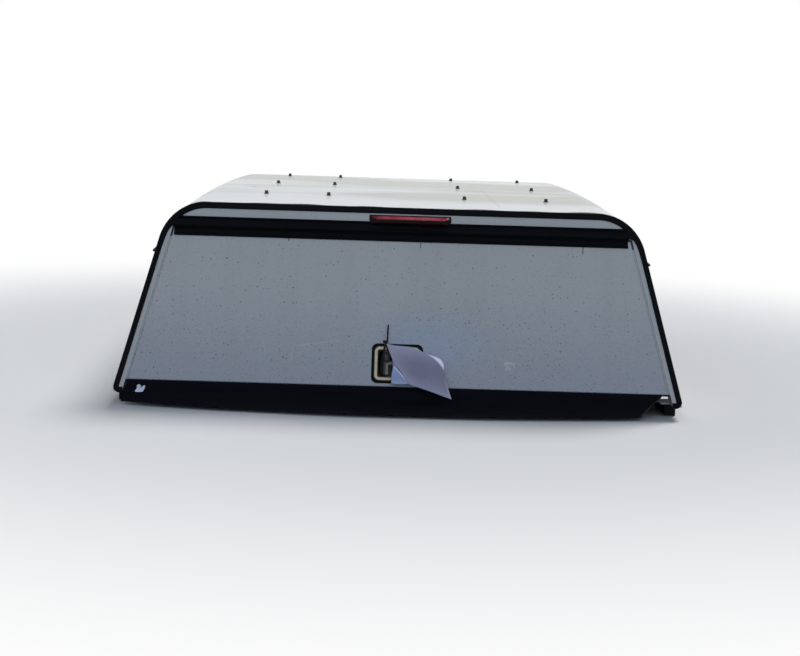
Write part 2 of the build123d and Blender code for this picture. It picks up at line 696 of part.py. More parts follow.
save(drip_rail(-1), "left_drip_rail", "black")
save(drip_rail(1), "right_drip_rail", "black")

# Roof bolts: four across in three rows
bolts = []
rear_row = roof_rear_y + bolt_rear_gap
front_row = roof_front_y - bolt_front_gap
for y in (rear_row, (rear_row + front_row) / 2 + bolt_middle_shift, front_row):
    for column in bolt_columns:
        place = Pos(column, y, roof_top - arch_drop(y) + frame_gap)
        washer = prism(RegularPolygon(bolt_washer_diameter / 2, bolt_washer_sides), bolt_washer_thickness)
        head = RegularPolygon(bolt_head_width / 2, 6, major_radius=False)
        head = prism(head, bolt_washer_thickness + bolt_head_height)
        bolts.append(place * (washer + head))
save(Compound(children=bolts), "roof_bolts", "dimgray")
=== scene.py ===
"""Looks of a moulded pickup canopy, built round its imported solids.

Every length is in metres, in the solids' own frame: +Z up, the cab towards +Y, the rear door facing -Y.
"""

import json
import logging
import math
from dataclasses import dataclass
from enum import Enum

import bmesh
import bpy
import numpy as np
from mathutils import Matrix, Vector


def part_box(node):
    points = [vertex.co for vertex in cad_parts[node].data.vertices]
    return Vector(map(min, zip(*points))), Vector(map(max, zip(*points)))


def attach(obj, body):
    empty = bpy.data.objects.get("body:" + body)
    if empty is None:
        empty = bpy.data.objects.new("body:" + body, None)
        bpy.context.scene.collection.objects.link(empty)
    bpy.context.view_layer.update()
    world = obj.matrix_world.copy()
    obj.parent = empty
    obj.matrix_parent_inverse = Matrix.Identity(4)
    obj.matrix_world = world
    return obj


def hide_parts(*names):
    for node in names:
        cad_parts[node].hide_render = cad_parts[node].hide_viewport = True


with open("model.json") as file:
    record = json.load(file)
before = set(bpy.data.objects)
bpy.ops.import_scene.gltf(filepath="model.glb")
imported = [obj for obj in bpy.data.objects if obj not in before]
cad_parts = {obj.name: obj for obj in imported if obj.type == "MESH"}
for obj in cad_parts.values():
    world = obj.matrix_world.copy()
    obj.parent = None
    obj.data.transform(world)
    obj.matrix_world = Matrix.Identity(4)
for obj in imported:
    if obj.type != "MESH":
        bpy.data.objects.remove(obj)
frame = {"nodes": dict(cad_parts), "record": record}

LOG = logging.getLogger("canopy")
Array = np.ndarray
Pair = tuple[float, float]
Triple = tuple[float, float, float]
Colour = Triple
MILLIMETRE = 0.001


# Materials: sockets with arithmetic, and one method that adds a node


class Value:
    """A number, colour or vector inside a material, with arithmetic that adds its own nodes."""

    def __init__(self, shader: "Shader", socket: bpy.types.NodeSocket) -> None:
        """Wrap one output socket of a shader's node."""
        self.shader = shader
        self.socket = socket

    def _math(self, operation: str, first: "Value | float", second: "Value | float") -> "Value":
        """Add a Math node on two numbers."""
        return self.shader.node("ShaderNodeMath", {"operation": operation}, {0: first, 1: second})

    def __add__(self, other: "Value | float") -> "Value":
        """Sum."""
        return self._math("ADD", self, other)

    __radd__ = __add__

    def __mul__(self, other: "Value | float") -> "Value":
        """Product."""
        return self._math("MULTIPLY", self, other)

    __rmul__ = __mul__

    def __sub__(self, other: "Value | float") -> "Value":
        """Difference."""
        return self._math("SUBTRACT", self, other)

    def __rsub__(self, other: float) -> "Value":
        """Difference from a number."""
        return self._math("SUBTRACT", other, self)

    def __truediv__(self, other: "Value | float") -> "Value":
        """Quotient."""
        return self._math("DIVIDE", self, other)

    def __gt__(self, other: "Value | float") -> "Value":
        """1 where this is greater, else 0."""
        return self._math("GREATER_THAN", self, other)

    def __pow__(self, other: float) -> "Value":
        """Power."""
        return self._math("POWER", self, other)

    def __abs__(self) -> "Value":
        """Size without sign."""
        return self._math("ABSOLUTE", self, 0.0)

    def most(self, other: "Value | float") -> "Value":
        """The greater of two numbers."""
        return self._math("MAXIMUM", self, other)

    def sibling(self, output: str) -> "Value":
        """Another output of the same node."""
        return Value(self.shader, self.socket.node.outputs[output])


class Shader:
    """A material and its nodes."""

    def __init__(self, name: str, **constants: float) -> None:
        """Start a material.

        Args:
            name: the material's name.
            constants: values for the main shader's own sockets, with underscores for the spaces in names.
        """
        self.material = bpy.data.materials.new(name)
        self.material.use_nodes = True
        self.tree = self.material.node_tree
        self.tree.nodes.clear()
        self.output = self.tree.nodes.new("ShaderNodeOutputMaterial")
        self.surface = self.tree.nodes.new("ShaderNodeBsdfPrincipled")
        self.tree.links.new(self.surface.outputs[0], self.output.inputs["Surface"])
        for key, value in constants.items():
            self.surface.inputs[key.replace("_", " ")].default_value = value

    def node(
        self, kind: str, settings: dict | None = None, inputs: dict | None = None, output: int | str = 0
    ) -> Value:
        """Add a node.

        Args:
            kind: the node's type.
            settings: its settings.
            inputs: values or links of its sockets, by name or number.
            output: name or number of the output to return.

        Returns:
            The chosen output.
        """
        made = self.tree.nodes.new(kind)
        for key, value in (settings or {}).items():
            setattr(made, key, value)
        for key, value in (inputs or {}).items():
            self.feed(made.inputs[key], value)
        return Value(self, made.outputs[output])

    def feed(self, socket: bpy.types.NodeSocket, value: "Value | float | Colour") -> None:
        """Link a value to a socket, or set the socket's own value.

        Args:
            socket: the socket.
            value: what it gets; a colour comes without its alpha.
        """
        if isinstance(value, Value):
            self.tree.links.new(value.socket, socket)
        elif isinstance(value, tuple) and len(value) == 3 and socket.type == "RGBA":
            socket.default_value = (*value, 1.0)
        else:
            socket.default_value = value

    def set(self, **sockets: "Value | float | Colour") -> "Shader":
        """Feed the main shader's sockets."""
        for key, value in sockets.items():
            self.feed(self.surface.inputs[key.replace("_", " ")], value)
        return self

    def place(self) -> Value:
        """Object coordinates."""
        return self.node("ShaderNodeTexCoord", output="Object")

    def mapped(
        self, scale: Triple = (1, 1, 1), centre: Triple = (0, 0, 0), turn: Triple = (0, 0, 0)
    ) -> Value:
        """Object coordinates with centre taken off, then stretched by scale, then turned."""
        shift = tuple(-c for c in centre)
        moved = self.node("ShaderNodeMapping", {}, {"Vector": self.place(), "Location": shift})
        return self.node("ShaderNodeMapping", {}, {"Vector": moved, "Rotation": turn, "Scale": scale})

    def axes(self, vector: Value | None = None) -> tuple[Value, Value, Value]:
        """The three numbers of a vector, or of the Object coordinates."""
        first = self.node("ShaderNodeSeparateXYZ", {}, {"Vector": vector or self.place()})
        return first, first.sibling("Y"), first.sibling("Z")

    def face(self) -> tuple[Value, Value, Value]:
        """Object coordinates in the rear face's own axes: across, up its slope and out of it."""
        x, y, z = self.axes()
        y, z = y - FACE.foot_y, z - FACE.foot_z
        sine, cosine = math.sin(FACE.lean), math.cos(FACE.lean)
        return x, y * sine + z * cosine, z * sine - y * cosine

    def distance(self, centre: Triple, stretch: Triple) -> Value:
        """Distance from a point, each axis first multiplied by its stretch."""
        place = self.mapped(stretch, centre)
        return self.node("ShaderNodeVectorMath", {"operation": "LENGTH"}, {0: place}, "Value")

    def line(self, start: Pair, end: Pair, width: float) -> Value:
        """A thin straight mark on the rear face, which fades at its sides and its ends.

        Args:
            start: one end's place across the face and up it.
            end: the other end's.
            width: how far beside its middle line the mark has faded to nothing.

        Returns:
            1 on the mark, 0 beside it.
        """
        x, u, _ = self.face()
        length = math.dist(start, end)
        across, up = (end[0] - start[0]) / length, (end[1] - start[1]) / length
        along = x * across + u * up - (start[0] * across + start[1] * up)
        beside = x * up - u * across - (start[0] * up - start[1] * across)
        ends = self.step(along, 0.0, 0.1 * length) * self.step(along, length, 0.9 * length)
        return self.step(abs(beside), width, 0.25 * width) * ends

    def noise(
        self, scale: float, detail: float = 3.0, roughness: float = 0.5, vector: Value | None = None
    ) -> Value:
        """Noise from 0 to 1."""
        inputs = {"Vector": vector or self.place(), "Scale": scale, "Detail": detail, "Roughness": roughness}
        return self.node("ShaderNodeTexNoise", {}, inputs)

    def step(self, value: Value, low: float, high: float, start: float = 0.0, end: float = 1.0) -> Value:
        """A smooth change from start to end as a value goes from low to high."""
        inputs = {"Value": value, "From Min": low, "From Max": high, "To Min": start, "To Max": end}
        return self.node("ShaderNodeMapRange", {"interpolation_type": "SMOOTHSTEP"}, inputs)

    def mix(self, share: "Value | float", first: "Value | Colour", second: "Value | Colour") -> Value:
        """Blend two colours by the second's share; the node keeps colours at inputs 6 and 7 and output 2."""
        return self.node("ShaderNodeMix", {"data_type": "RGBA"}, {0: share, 6: first, 7: second}, 2)

    def spots(self, scale: float, radius: float, keep: Value) -> Value:
        """Scattered spots, one to a cell, of two fifths of the largest radius or more.

        Noise first warps the places a little, so that no spot is quite round.

        Args:
            scale: cells to the metre.
            radius: the largest spot's radius, in cells.
            keep: share of the cells that have a spot.

        Returns:
            1 in a spot, 0 outside.
        """
        wobble = {0: self.noise(scale * 2.2, 2.0).sibling("Color"), "Scale": 0.35 / scale}
        shift = self.node("ShaderNodeVectorMath", {"operation": "SCALE"}, wobble)
        moved = self.node("ShaderNodeVectorMath", {"operation": "ADD"}, {0: self.place(), 1: shift})
        cell = self.node("ShaderNodeTexVoronoi", {"feature": "F1"}, {"Vector": moved, "Scale": scale})
        chance = self.node("ShaderNodeSeparateColor", {}, {"Color": cell.sibling("Color")})
        size = chance.sibling("Green") * (radius * 0.6) + radius * 0.4
        return self.step(cell / size, 1.0, 0.5) * (keep > chance)

    def bump(self, height: Value, depth: float, strength: float = 1.0, under: Value | None = None) -> Value:
        """A normal from a height of 0 to 1, which stands for depth metres."""
        inputs = {"Height": height, "Distance": depth, "Strength": strength}
        if under is not None:
            inputs["Normal"] = under
        return self.node("ShaderNodeBump", {}, inputs)


@dataclass(frozen=True)
class RearFace:
    """The plane of the shell's rear face and the shell's outline in it."""

    foot_y: float = -0.891
    foot_z: float = 0.035
    lean: float = math.radians(16.5)
    half_width: float = 0.771
    side_slope: float = math.tan(math.radians(14.8))
    roof_height: float = 0.504
    corner: float = 0.128
    length: float = 1.87
    front_lean: float = math.radians(7)
    arch_radius: float = 30.0
    corner_points: int = 40

    @property
    def roof_rear(self) -> float:
        """Y of the roof's rear edge."""
        return self.foot_y + self.roof_height * math.tan(self.lean)

    @property
    def middle(self) -> float:
        """Y of the roof's highest line."""
        roof_front = self.foot_y + self.length - self.roof_height * math.tan(self.front_lean)
        return (self.roof_rear + roof_front) / 2

    @property
    def roof_top(self) -> float:
        """Height of the roof's highest line."""
        half = self.middle - self.roof_rear
        return self.foot_z + self.roof_height + self.arch_radius - math.sqrt(self.arch_radius**2 - half**2)

    def out(self) -> Array:
        """Direction out of the rear face."""
        return np.array([0.0, -math.cos(self.lean), math.sin(self.lean)])

    def up(self) -> Array:
        """Direction up the rear face."""
        return np.array([0.0, math.sin(self.lean), math.cos(self.lean)])

    def point(self, x: Array | float, u: Array | float, n: Array | float) -> Array:
        """Points of the face's own axes in the canopy's frame.

        Args:
            x: places across the face.
            u: places up its slope.
            n: places out of it.

        Returns:
            The points, three numbers each.
        """
        x, u, n = np.broadcast_arrays(np.asarray(x, float), np.asarray(u, float), np.asarray(n, float))
        start = np.array([0.0, self.foot_y, self.foot_z])
        across = np.array([1.0, 0.0, 0.0])
        return start + x[..., None] * across + u[..., None] * self.up() + n[..., None] * self.out()

    def roof_at(self, y: Array | float) -> Array | float:
        """Height of the arched roof at a place along the length."""
        return self.roof_top - self.arch_radius + np.sqrt(self.arch_radius**2 - (y - self.middle) ** 2)

    def outline(self, count: int) -> Array:
        """Evenly spaced points of the shell's edge in the face, from one foot to the other.

        Each side is a straight line and each corner an arc of the corner radius about its centre. The slope
        of the roof's rear end lowers a point by that slope for each metre it lies behind the roof's edge.

        Args:
            count: number of points.

        Returns:
            Rows of x and the distance up the face.
        """
        past_foot = 0.02
        lean = math.atan(self.side_slope)
        top_half = self.half_width - self.roof_height * self.side_slope
        reach = self.corner * math.tan((math.pi / 2 - lean) / 2)
        angle = np.linspace(0, math.pi / 2 - lean, self.corner_points)
        centre = np.array([top_half - reach, self.roof_height - self.corner])
        arc = centre + self.corner * np.stack([np.sin(angle), np.cos(angle)], 1)
        below = [self.half_width + past_foot * self.side_slope, -past_foot]
        right = np.vstack([[0.0, self.roof_height], arc, below])
        slope = (self.middle - self.roof_rear) / self.arch_radius
        lean_rate = math.tan(self.lean)
        z = (right[:, 1] + slope * (self.foot_y - self.roof_rear)) / (1 - slope * lean_rate)
        right = np.stack([right[:, 0], z / math.cos(self.lean)], 1)
        share = right[-2, 1] / (right[-2, 1] - right[-1, 1])
        right[-1] = right[-2] + share * (right[-1] - right[-2])
        line = np.vstack([(right * [-1, 1])[::-1], right[1:]])
        length = np.concatenate([[0], np.cumsum(np.linalg.norm(np.diff(line, axis=0), axis=1))])
        places = np.linspace(0, length[-1], count)
        return np.stack([np.interp(places, length, line[:, i]) for i in (0, 1)], 1)


FACE = RearFace()


# Meshes

WELD_GAP = 1e-6
SOLID_WELD_GAP = 2e-6


def grid_faces(rows: int, columns: int, closed: bool = False) -> list:
    """Quads of a grid of points, numbered row by row.

    Args:
        rows: number of rows.
        columns: number of columns.
        closed: join the last column to the first.

    Returns:
        Four point numbers for each quad.
    """
    row, column = np.meshgrid(np.arange(rows - 1), np.arange(columns - (not closed)), indexing="ij")
    next_row, next_column = row + 1, (column + 1) % columns
    corners = [(row, column), (row, next_column), (next_row, next_column), (next_row, column)]
    return np.stack([r * columns + c for r, c in corners], -1).reshape(-1, 4).tolist()


def tube_faces(rows: int, columns: int) -> list:
    """Faces of a closed profile carried along an open path: quads along it and one face at each end."""
    first = list(range(columns))
    last = list(range((rows - 1) * columns, rows * columns))
    return grid_faces(rows, columns, closed=True) + [first[::-1], last]


def joined(parts: list[tuple[Array, list]]) -> tuple[Array, list]:
    """Several shapes as one.

    Args:
        parts: points and faces of each shape.

    Returns:
        All the points, and all the faces with their numbers counted on.
    """
    points = [part.reshape(-1, 3) for part, _ in parts]
    starts = np.cumsum([0] + [len(part) for part in points]).tolist()
    faces = [[start + i for i in face] for start, (_, own) in zip(starts, parts) for face in own]
    return np.vstack(points), faces


def make_piece(
    name: str, points: Array, faces: list, smooth: bool = True, sharp: float | None = 35.0
) -> bpy.types.Object:
    """A mesh object from arrays, with its faces turned outwards.

    Args:
        name: the piece's name.
        points: its points, three numbers each.
        faces: lists of point numbers.
        smooth: shade it smooth.
        sharp: edges that turn by more than this many degrees stay crisp.

    Returns:
        The object.
    """
    mesh = bpy.data.meshes.new(name)
    mesh.from_pydata(np.asarray(points, float).reshape(-1, 3).tolist(), [], faces)
    shape = bmesh.new()
    shape.from_mesh(mesh)
    bmesh.ops.remove_doubles(shape, verts=shape.verts, dist=WELD_GAP)
    bmesh.ops.recalc_face_normals(shape, faces=shape.faces)
    shape.to_mesh(mesh)
    shape.free()
    mesh.polygons.foreach_set("use_smooth", np.full(len(mesh.polygons), smooth))
    if smooth and sharp is not None:
        mesh.set_sharp_from_angle(angle=math.radians(sharp))
    return add_object(name, mesh)


def add_object(name: str, data: bpy.types.ID) -> bpy.types.Object:
    """Put a mesh, a lamp or a camera into the scene as an object."""
    made = bpy.data.objects.new(name, data)
    bpy.context.scene.collection.objects.link(made)
    return made


def modifier(piece: bpy.types.Object, kind: str, **settings: float) -> None:
    """Add a finishing modifier to a piece.

    Args:
        piece: the object.
        kind: the modifier's type.
        settings: its settings.
    """
    made = piece.modifiers.new(kind.title(), kind)
    for key, value in settings.items():
        setattr(made, key, value)


def fit_out(
    piece: bpy.types.Object, body: str, slot: str, material: bpy.types.Material, *nodes: str
) -> None:
    """Dress a piece and make it ride.

    Args:
        piece: the object.
        body: the body that it moves with.
        slot: not used.
        material: its material.
        nodes: solids that it stands for.
    """
    piece.data.materials.clear()
    piece.data.materials.append(material)
    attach(piece, body)
    if nodes:
        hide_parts(*nodes)
    LOG.info("%s: %d faces, on %s", piece.name, len(piece.data.polygons), body)


def refined_copy(node: str, name: str, sharp: float = 28.0) -> bpy.types.Object:
    """A welded copy of a solid's mesh whose curved faces shade smoothly.

    A solid's faces are triangles. The normal at a face's corner is the sum, over the faces that meet there
    and turn by less than the sharp angle, of each one's own normal times its area.

    Args:
        node: the solid's node.
        name: the copy's name.
        sharp: edges that turn by more degrees than this stay crisp.

    Returns:
        The copy.
    """
    mesh = frame["nodes"][node].data.copy()
    mesh.name = name
    shape = bmesh.new()
    shape.from_mesh(mesh)
    bmesh.ops.remove_doubles(shape, verts=shape.verts, dist=SOLID_WELD_GAP)
    shape.to_mesh(mesh)
    shape.free()
    for attribute in [a.name for a in mesh.attributes if a.name in ("custom_normal", "sharp_edge")]:
        mesh.attributes.remove(mesh.attributes[attribute])
    count = len(mesh.polygons)
    corner = np.empty(count * 3, int)
    mesh.polygons.foreach_get("vertices", corner)
    normal, area = np.empty(count * 3), np.empty(count)
    mesh.polygons.foreach_get("normal", normal)
    mesh.polygons.foreach_get("area", area)
    normal = normal.reshape(-1, 3)
    order = np.argsort(corner, kind="stable")
    start = np.searchsorted(corner[order], np.arange(len(mesh.vertices)))
    sizes = np.diff(np.append(start, len(corner)))
    total = sizes[corner]
    first = np.repeat(np.arange(len(corner)), total)
    within = np.arange(total.sum()) - np.repeat(np.cumsum(total) - total, total)
    other = order[start[corner[first]] + within]
    near = np.einsum("ij,ij->i", normal[first // 3], normal[other // 3]) > math.cos(math.radians(sharp))
    weight = (area[other // 3] * near)[:, None] * normal[other // 3]
    summed = np.stack([np.bincount(first, weight[:, i], len(corner)) for i in range(3)], 1)
    summed /= np.linalg.norm(summed, axis=1, keepdims=True)
    mesh.polygons.foreach_set("use_smooth", np.ones(count, bool))
    mesh.normals_split_custom_set(summed.tolist())
    return add_object(name, mesh)


# Finishes


class Coat(Enum):
    """Which moulding a gelcoat is on."""

    SHELL = "shell"
    DOOR = "door"
    LINER = "liner"


@dataclass(frozen=True)
class Gelcoat:
    """Weathered white gelcoat: glossy, a little wavy, filmed and speckled with dirt, with painted
    reflections and highlights.
    """

    coat: Coat
    white: Colour = (0.78, 0.80, 0.825)
    grime: Colour = (0.50, 0.50, 0.47)
    speck: Colour = (0.075, 0.08, 0.09)
    roof_chalk: Colour = (0.60, 0.625, 0.62)
    roof_right: Colour = (0.56, 0.55, 0.51)
    # dull and pale bands along the roof's waves: partly dirt film, partly painted reflection
    dull_grime_and_reflection: Colour = (0.46, 0.46, 0.425)
    pale_clean_and_reflection: Colour = (0.78, 0.81, 0.825)
    # thin dark lines on the roof: painted reflection along shallow creases
    crease_shading: Colour = (0.34, 0.35, 0.33)
    # painted highlight along the roof's rear edge
    lip_highlight: Colour = (0.76, 0.79, 0.805)
    stain: Colour = (0.60, 0.50, 0.25)
    scratch: Colour = (0.30, 0.31, 0.31)
    # the door turns darker and bluer towards its bottom
    low_blue_tint: Colour = (0.45, 0.50, 0.68)
    grit: Colour = (0.20, 0.22, 0.26)
    rain: Colour = (0.50, 0.52, 0.52)
    # on the door, a paler band down its middle: a painted reflection
    paler_tone: Colour = (0.92, 0.93, 0.90)
    # a painted blue reflection of the paper, on the door beside the handle
    blue_reflection: Colour = (0.54, 0.72, 1.0)
    scuff: Colour = (0.97, 0.98, 1.0)
    wiped: Colour = (0.93, 0.94, 0.95)
    wiped_lines: tuple[tuple[Pair, Pair], ...] = (
        ((-0.289, 0.137), (-0.154, 0.157)),
        ((-0.377, 0.164), (-0.361, 0.1125)),
        ((-0.2888, 0.137), (-0.2925, 0.093)),
    )
    drips: tuple[Pair, ...] = ((0.0508, 0.021), (0.4960, 0.024), (-0.31, 0.011))
    drip_top: float = 0.4370
    line_width: float = 0.0030
    fine_grain: float = 0.000008
    door_grain: float = 0.00003

    def make(self) -> bpy.types.Material:
        """Build the material."""
        shader = Shader(f"gelcoat_{self.coat.value}", Specular_IOR_Level=0.36, Coat_Roughness=0.12)
        fine = shader.noise(26.0, 3.0, 0.55)
        matt = 1.0 if self.coat is Coat.SHELL else 0.0
        away = 1.0 - shader.step(shader.axes()[2], 0.50, 0.54) * matt
        film = shader.step(shader.noise(1.7, 4.0, 0.55), 0.35, 0.75) * 0.10
        film = film + shader.step(fine, 0.45, 0.8) * 0.05 * away
        colour = shader.mix(film, self.white, self.grime)
        wave = shader.noise(1.0, 2.0, 0.45, shader.mapped((1.1, 3.8, 1.2), turn=(0.0, 0.0, 0.12)))
        rough: Value | float = shader.step(fine, 0.3, 0.8, 0.22, 0.36) + (1.0 - away) * 0.25
        if self.coat is Coat.SHELL:
            colour = self.weather_roof(shader, colour, wave)
            colour = self.specks(shader, colour, 0.08 * away + 0.02)
        elif self.coat is Coat.DOOR:
            colour = self.weather_door(shader, colour)
            up = shader.face()[1]
            crowd = shader.step(shader.noise(4.5, 2.0), 0.3, 0.7, 0.65, 1.35)
            colour = self.specks(shader, colour, shader.step(up, 0.44, 0.06, 0.24, 0.62) * crowd)
        else:
            rough = 0.5
        normal = shader.bump(wave, 0.0055)
        peel = self.door_grain if self.coat is Coat.DOOR else self.fine_grain
        normal = shader.bump(shader.noise(300.0, 1.0) * away, peel, 1.0, normal)
        return shader.set(Base_Color=colour, Roughness=rough, Coat_Weight=0.25, Normal=normal).material

    def specks(self, shader: Shader, colour: Value, keep: Value) -> Value:
        """Dirt specks of three sizes.

        Args:
            shader: the material.
            colour: the colour under them.
            keep: share of the cells that have one.

        Returns:
            The colour with the specks.
        """
        sizes = ((92.0, 0.27, 0.85, 0.70), (190.0, 0.34, 1.3, 0.50), (37.0, 0.11, 0.45, 0.70))
        for scale, radius, share, dark in sizes:
            colour = shader.mix(shader.spots(scale, radius, keep * share) * dark, colour, self.speck)
        return colour

    def weather_roof(self, shader: Shader, colour: Value, wave: Value) -> Value:
        """Chalk, film and painted reflections in bands and creases, a painted rear-edge highlight, a stain
        and a scratch.

        Args:
            shader: the material.
            colour: the colour under them.
            wave: the noise that also makes the surface uneven.

        Returns:
            The weathered colour.
        """
        x, y, z = shader.axes()
        roof = shader.step(z, 0.50, 0.54)
        lip = shader.step(y, -0.38, -0.60)
        chalk = roof * (1.0 - lip)
        colour = shader.mix(chalk * 0.80, colour, self.roof_chalk)
        colour = shader.mix(shader.step(x, -0.2, 0.45) * chalk * 0.45, colour, self.roof_right)
        # Bands along the waves that also make the roof uneven: partly dirt film, partly painted reflection
        colour = shader.mix(shader.step(wave, 0.48, 0.56) * chalk * 0.72, colour, self.dull_grime_and_reflection)
        colour = shader.mix(shader.step(wave, 0.47, 0.38) * chalk * 0.70, colour, self.pale_clean_and_reflection)
        # Thin dark curves: painted reflection lines along shallow creases in the roof
        crease_shading = shader.noise(1.0, 2.0, 0.4, shader.mapped((1.6, 5.0, 1.0), (3.0, 1.0, 0.0)))
        thin = shader.step(abs(crease_shading - 0.5), 0.016, 0.004) * shader.step(shader.noise(2.6, 2.0), 0.47, 0.56)
        colour = shader.mix(thin * roof * 0.60, colour, self.crease_shading)
        # Painted highlight along the roof's rear edge, which the chalk above is also kept off
        colour = shader.mix(lip * roof * 0.85, colour, self.lip_highlight)
        stain = shader.step(shader.distance((-0.322, 0.50, 0.555), (1.0, 0.55, 1.0)), 0.075, 0.01)
        colour = shader.mix(stain * 0.55, colour, self.stain)
        scratch = shader.step(abs(x - y * -0.0227 - 0.2602), 0.0045, 0.0015)
        scratch = scratch * (y > -0.61) * (0.09 - y > 0.0) * roof
        return shader.mix(scratch * 0.30, colour, self.scratch)

    def weather_door(self, shader: Shader, colour: Value) -> Value:
        """A darker, bluer lower part, grit, rain streaks, painted reflections, drips under the hinge, a
        scuff and wiped lines on the door.

        Args:
            shader: the material.
            colour: the colour under them.

        Returns:
            The weathered colour.
        """
        x, up, _ = shader.face()
        # Darker and bluer towards the bottom
        low = shader.step(up, 0.34, 0.04)
        colour = shader.mix(low * 0.55, colour, self.low_blue_tint)
        grit = shader.step(shader.noise(150.0, 3.0, 0.7), 0.52, 0.72)
        grit = grit * shader.step(up, 0.45, 0.10, 0.10, 0.26)
        colour = shader.mix(grit, colour, self.grit)
        streak = shader.noise(1.0, 4.0, 0.6, shader.mapped((15.0, 0.7, 0.7)))
        colour = shader.mix(shader.step(streak, 0.42, 0.75) * 0.16, colour, self.rain)
        # A paler band down the door's middle: a painted reflection
        middle = shader.step(abs(x + 0.006), 0.030, 0.012) * shader.step(up, 0.20, 0.40)
        colour = shader.mix(middle * 0.20, colour, self.paler_tone)
        # Painted blue reflection of the paper, beside the handle
        patch = shader.step(shader.distance((0.085, -0.84, 0.185), (0.7, 1.0, 1.3)), 0.15, 0.03)
        colour = shader.mix(patch * 0.42, colour, self.blue_reflection)
        splash = shader.noise(60.0, 4.0, 0.7, shader.mapped(turn=(0.0, 0.6, 0.0)))
        scuff = shader.step(shader.distance((0.2985, -0.8635, 0.1305), (0.75, 1.0, 1.0)), 0.019, 0.004)
        colour = shader.mix(scuff * shader.step(splash, 0.46, 0.58), colour, self.scuff)
        for start, end in self.wiped_lines:
            colour = shader.mix(shader.line(start, end, self.line_width) * 0.35, colour, self.wiped)
        for place, length in self.drips:
            foot = (place - 0.0015, self.drip_top - length)
            drip = shader.line((place, self.drip_top), foot, self.line_width)
            colour = shader.mix(drip * 0.75, colour, self.speck)
        return colour


@dataclass(frozen=True)
class Plain:
    """A moulded or drawn surface with mottled colour, dust and a fine grain."""

    name: str
    base: Colour
    dust: Colour
    dust_share: float = 0.15
    rough: Pair = (0.35, 0.6)
    grain: float = 300.0
    grain_depth: float = 0.00006
    stretch: Triple = (1.0, 1.0, 1.0)
    metallic: float = 0.0
    specular: float = 0.3

    def make(self) -> bpy.types.Material:
        """Build the material."""
        shader = Shader(self.name, Specular_IOR_Level=self.specular, Metallic=self.metallic)
        cloud = shader.noise(14.0, 4.0, 0.6, shader.mapped(self.stretch))
        fine = shader.noise(self.grain, 3.0, 0.6, shader.mapped(self.stretch))
        share = shader.step(cloud, 0.42, 0.78) * self.dust_share
        share = share + shader.step(fine, 0.55, 0.85) * (self.dust_share * 0.6)
        colour = shader.mix(share, self.base, self.dust)
        rough = shader.step(cloud, 0.3, 0.75, *self.rough)
        normal = shader.bump(fine, self.grain_depth)
        return shader.set(Base_Color=colour, Roughness=rough, Normal=normal).material


@dataclass(frozen=True)
class TrimRubber:
    """Black rubber of the edge trim, with painted grey highlights in places where its lip lies on the roof.
    """

    base: Colour = (0.006, 0.0065, 0.009)
    # grey and the highlight tint: painted highlights on the lip that lies on the roof
    grey: Colour = (0.13, 0.13, 0.14)
    highlight_tint: Colour = (0.36, 0.36, 0.37)
    dust: Colour = (0.06, 0.06, 0.065)

    def make(self) -> bpy.types.Material:
        """Build the material."""
        shader = Shader("trim_rubber", Specular_IOR_Level=0.05)
        _, up, out = shader.face()
        patchy = shader.noise(3.6, 4.0, 0.6, shader.mapped((1.0, 0.2, 0.2)))
        fine = shader.noise(420.0, 2.0)
        # Painted highlights in places on the lip that lies on the roof, grey and paler
        lip = shader.step(out, 0.0012, -0.0015) * shader.step(up, 0.47, 0.51)
        colour = shader.mix(lip * shader.step(patchy, 0.42, 0.56) * 0.8, self.base, self.grey)
        colour = shader.mix(lip * shader.step(patchy, 0.58, 0.66) * 0.7, colour, self.highlight_tint)
        colour = shader.mix(shader.step(fine, 0.5, 0.9) * 0.10, colour, self.dust)
        rough = shader.step(patchy, 0.3, 0.7, 0.45, 0.65)
        return shader.set(Base_Color=colour, Roughness=rough, Normal=shader.bump(fine, 0.00005)).material


@dataclass(frozen=True)
class DishSteel:
    """Bright frame of the pressed dish, weathered and tinted warm as a painted reflection, with painted
    shade and light in its recess.
    """

    # frame: steel tinted warm, a painted reflection of warm surroundings
    frame: Colour = (0.315, 0.280, 0.225)
    centre: Pair = (-0.005, 0.0964)
    half: Pair = (0.0635, 0.0480)
    radius: float = 0.016
    # dark: painted shade over the recess
    dark: Colour = (0.018, 0.018, 0.018)
    stain: Colour = (0.20, 0.17, 0.12)
    # painted light on the recess floor beside the handle
    lit_patch: Colour = (0.26, 0.25, 0.22)

    def make(self) -> bpy.types.Material:
        """Build the material."""
        shader = Shader("dish_steel", Specular_IOR_Level=0.10)
        x, up, out = shader.face()
        stain = shader.noise(90.0, 4.0, 0.6)
        brushed = shader.noise(160.0, 3.0, 0.6, shader.mapped((0.15, 1.0, 1.0)))
        side = shader.step(out, 0.0004, 0.0016)
        wide = (abs(x - self.centre[0]) - (self.half[0] - self.radius)).most(0.0)
        tall = (abs(up - self.centre[1]) - (self.half[1] - self.radius)).most(0.0)
        edge = (wide * wide + tall * tall) ** 0.5 - self.radius
        rim = side * shader.step(edge, -0.0120, -0.0082) * shader.step(edge, -0.0006, -0.0040)
        bright = shader.mix(shader.step(stain, 0.45, 0.75) * 0.55, self.frame, self.stain)
        # Painted light on the recess floor; painted shade over the rest of the recess
        lit_patch = shader.step(abs(x + 0.0250), 0.0075, 0.0045) * shader.step(up, 0.100, 0.092) * (up > 0.060)
        recess = shader.mix(lit_patch * 0.85, self.dark, self.lit_patch)
        colour = shader.mix(rim, recess, bright)
        rough = shader.step(brushed, 0.3, 0.7, 0.28, 0.48)
        normal = shader.bump(brushed, 0.00004)
        return shader.set(Base_Color=colour, Metallic=rim * 0.80, Roughness=rough, Normal=normal).material


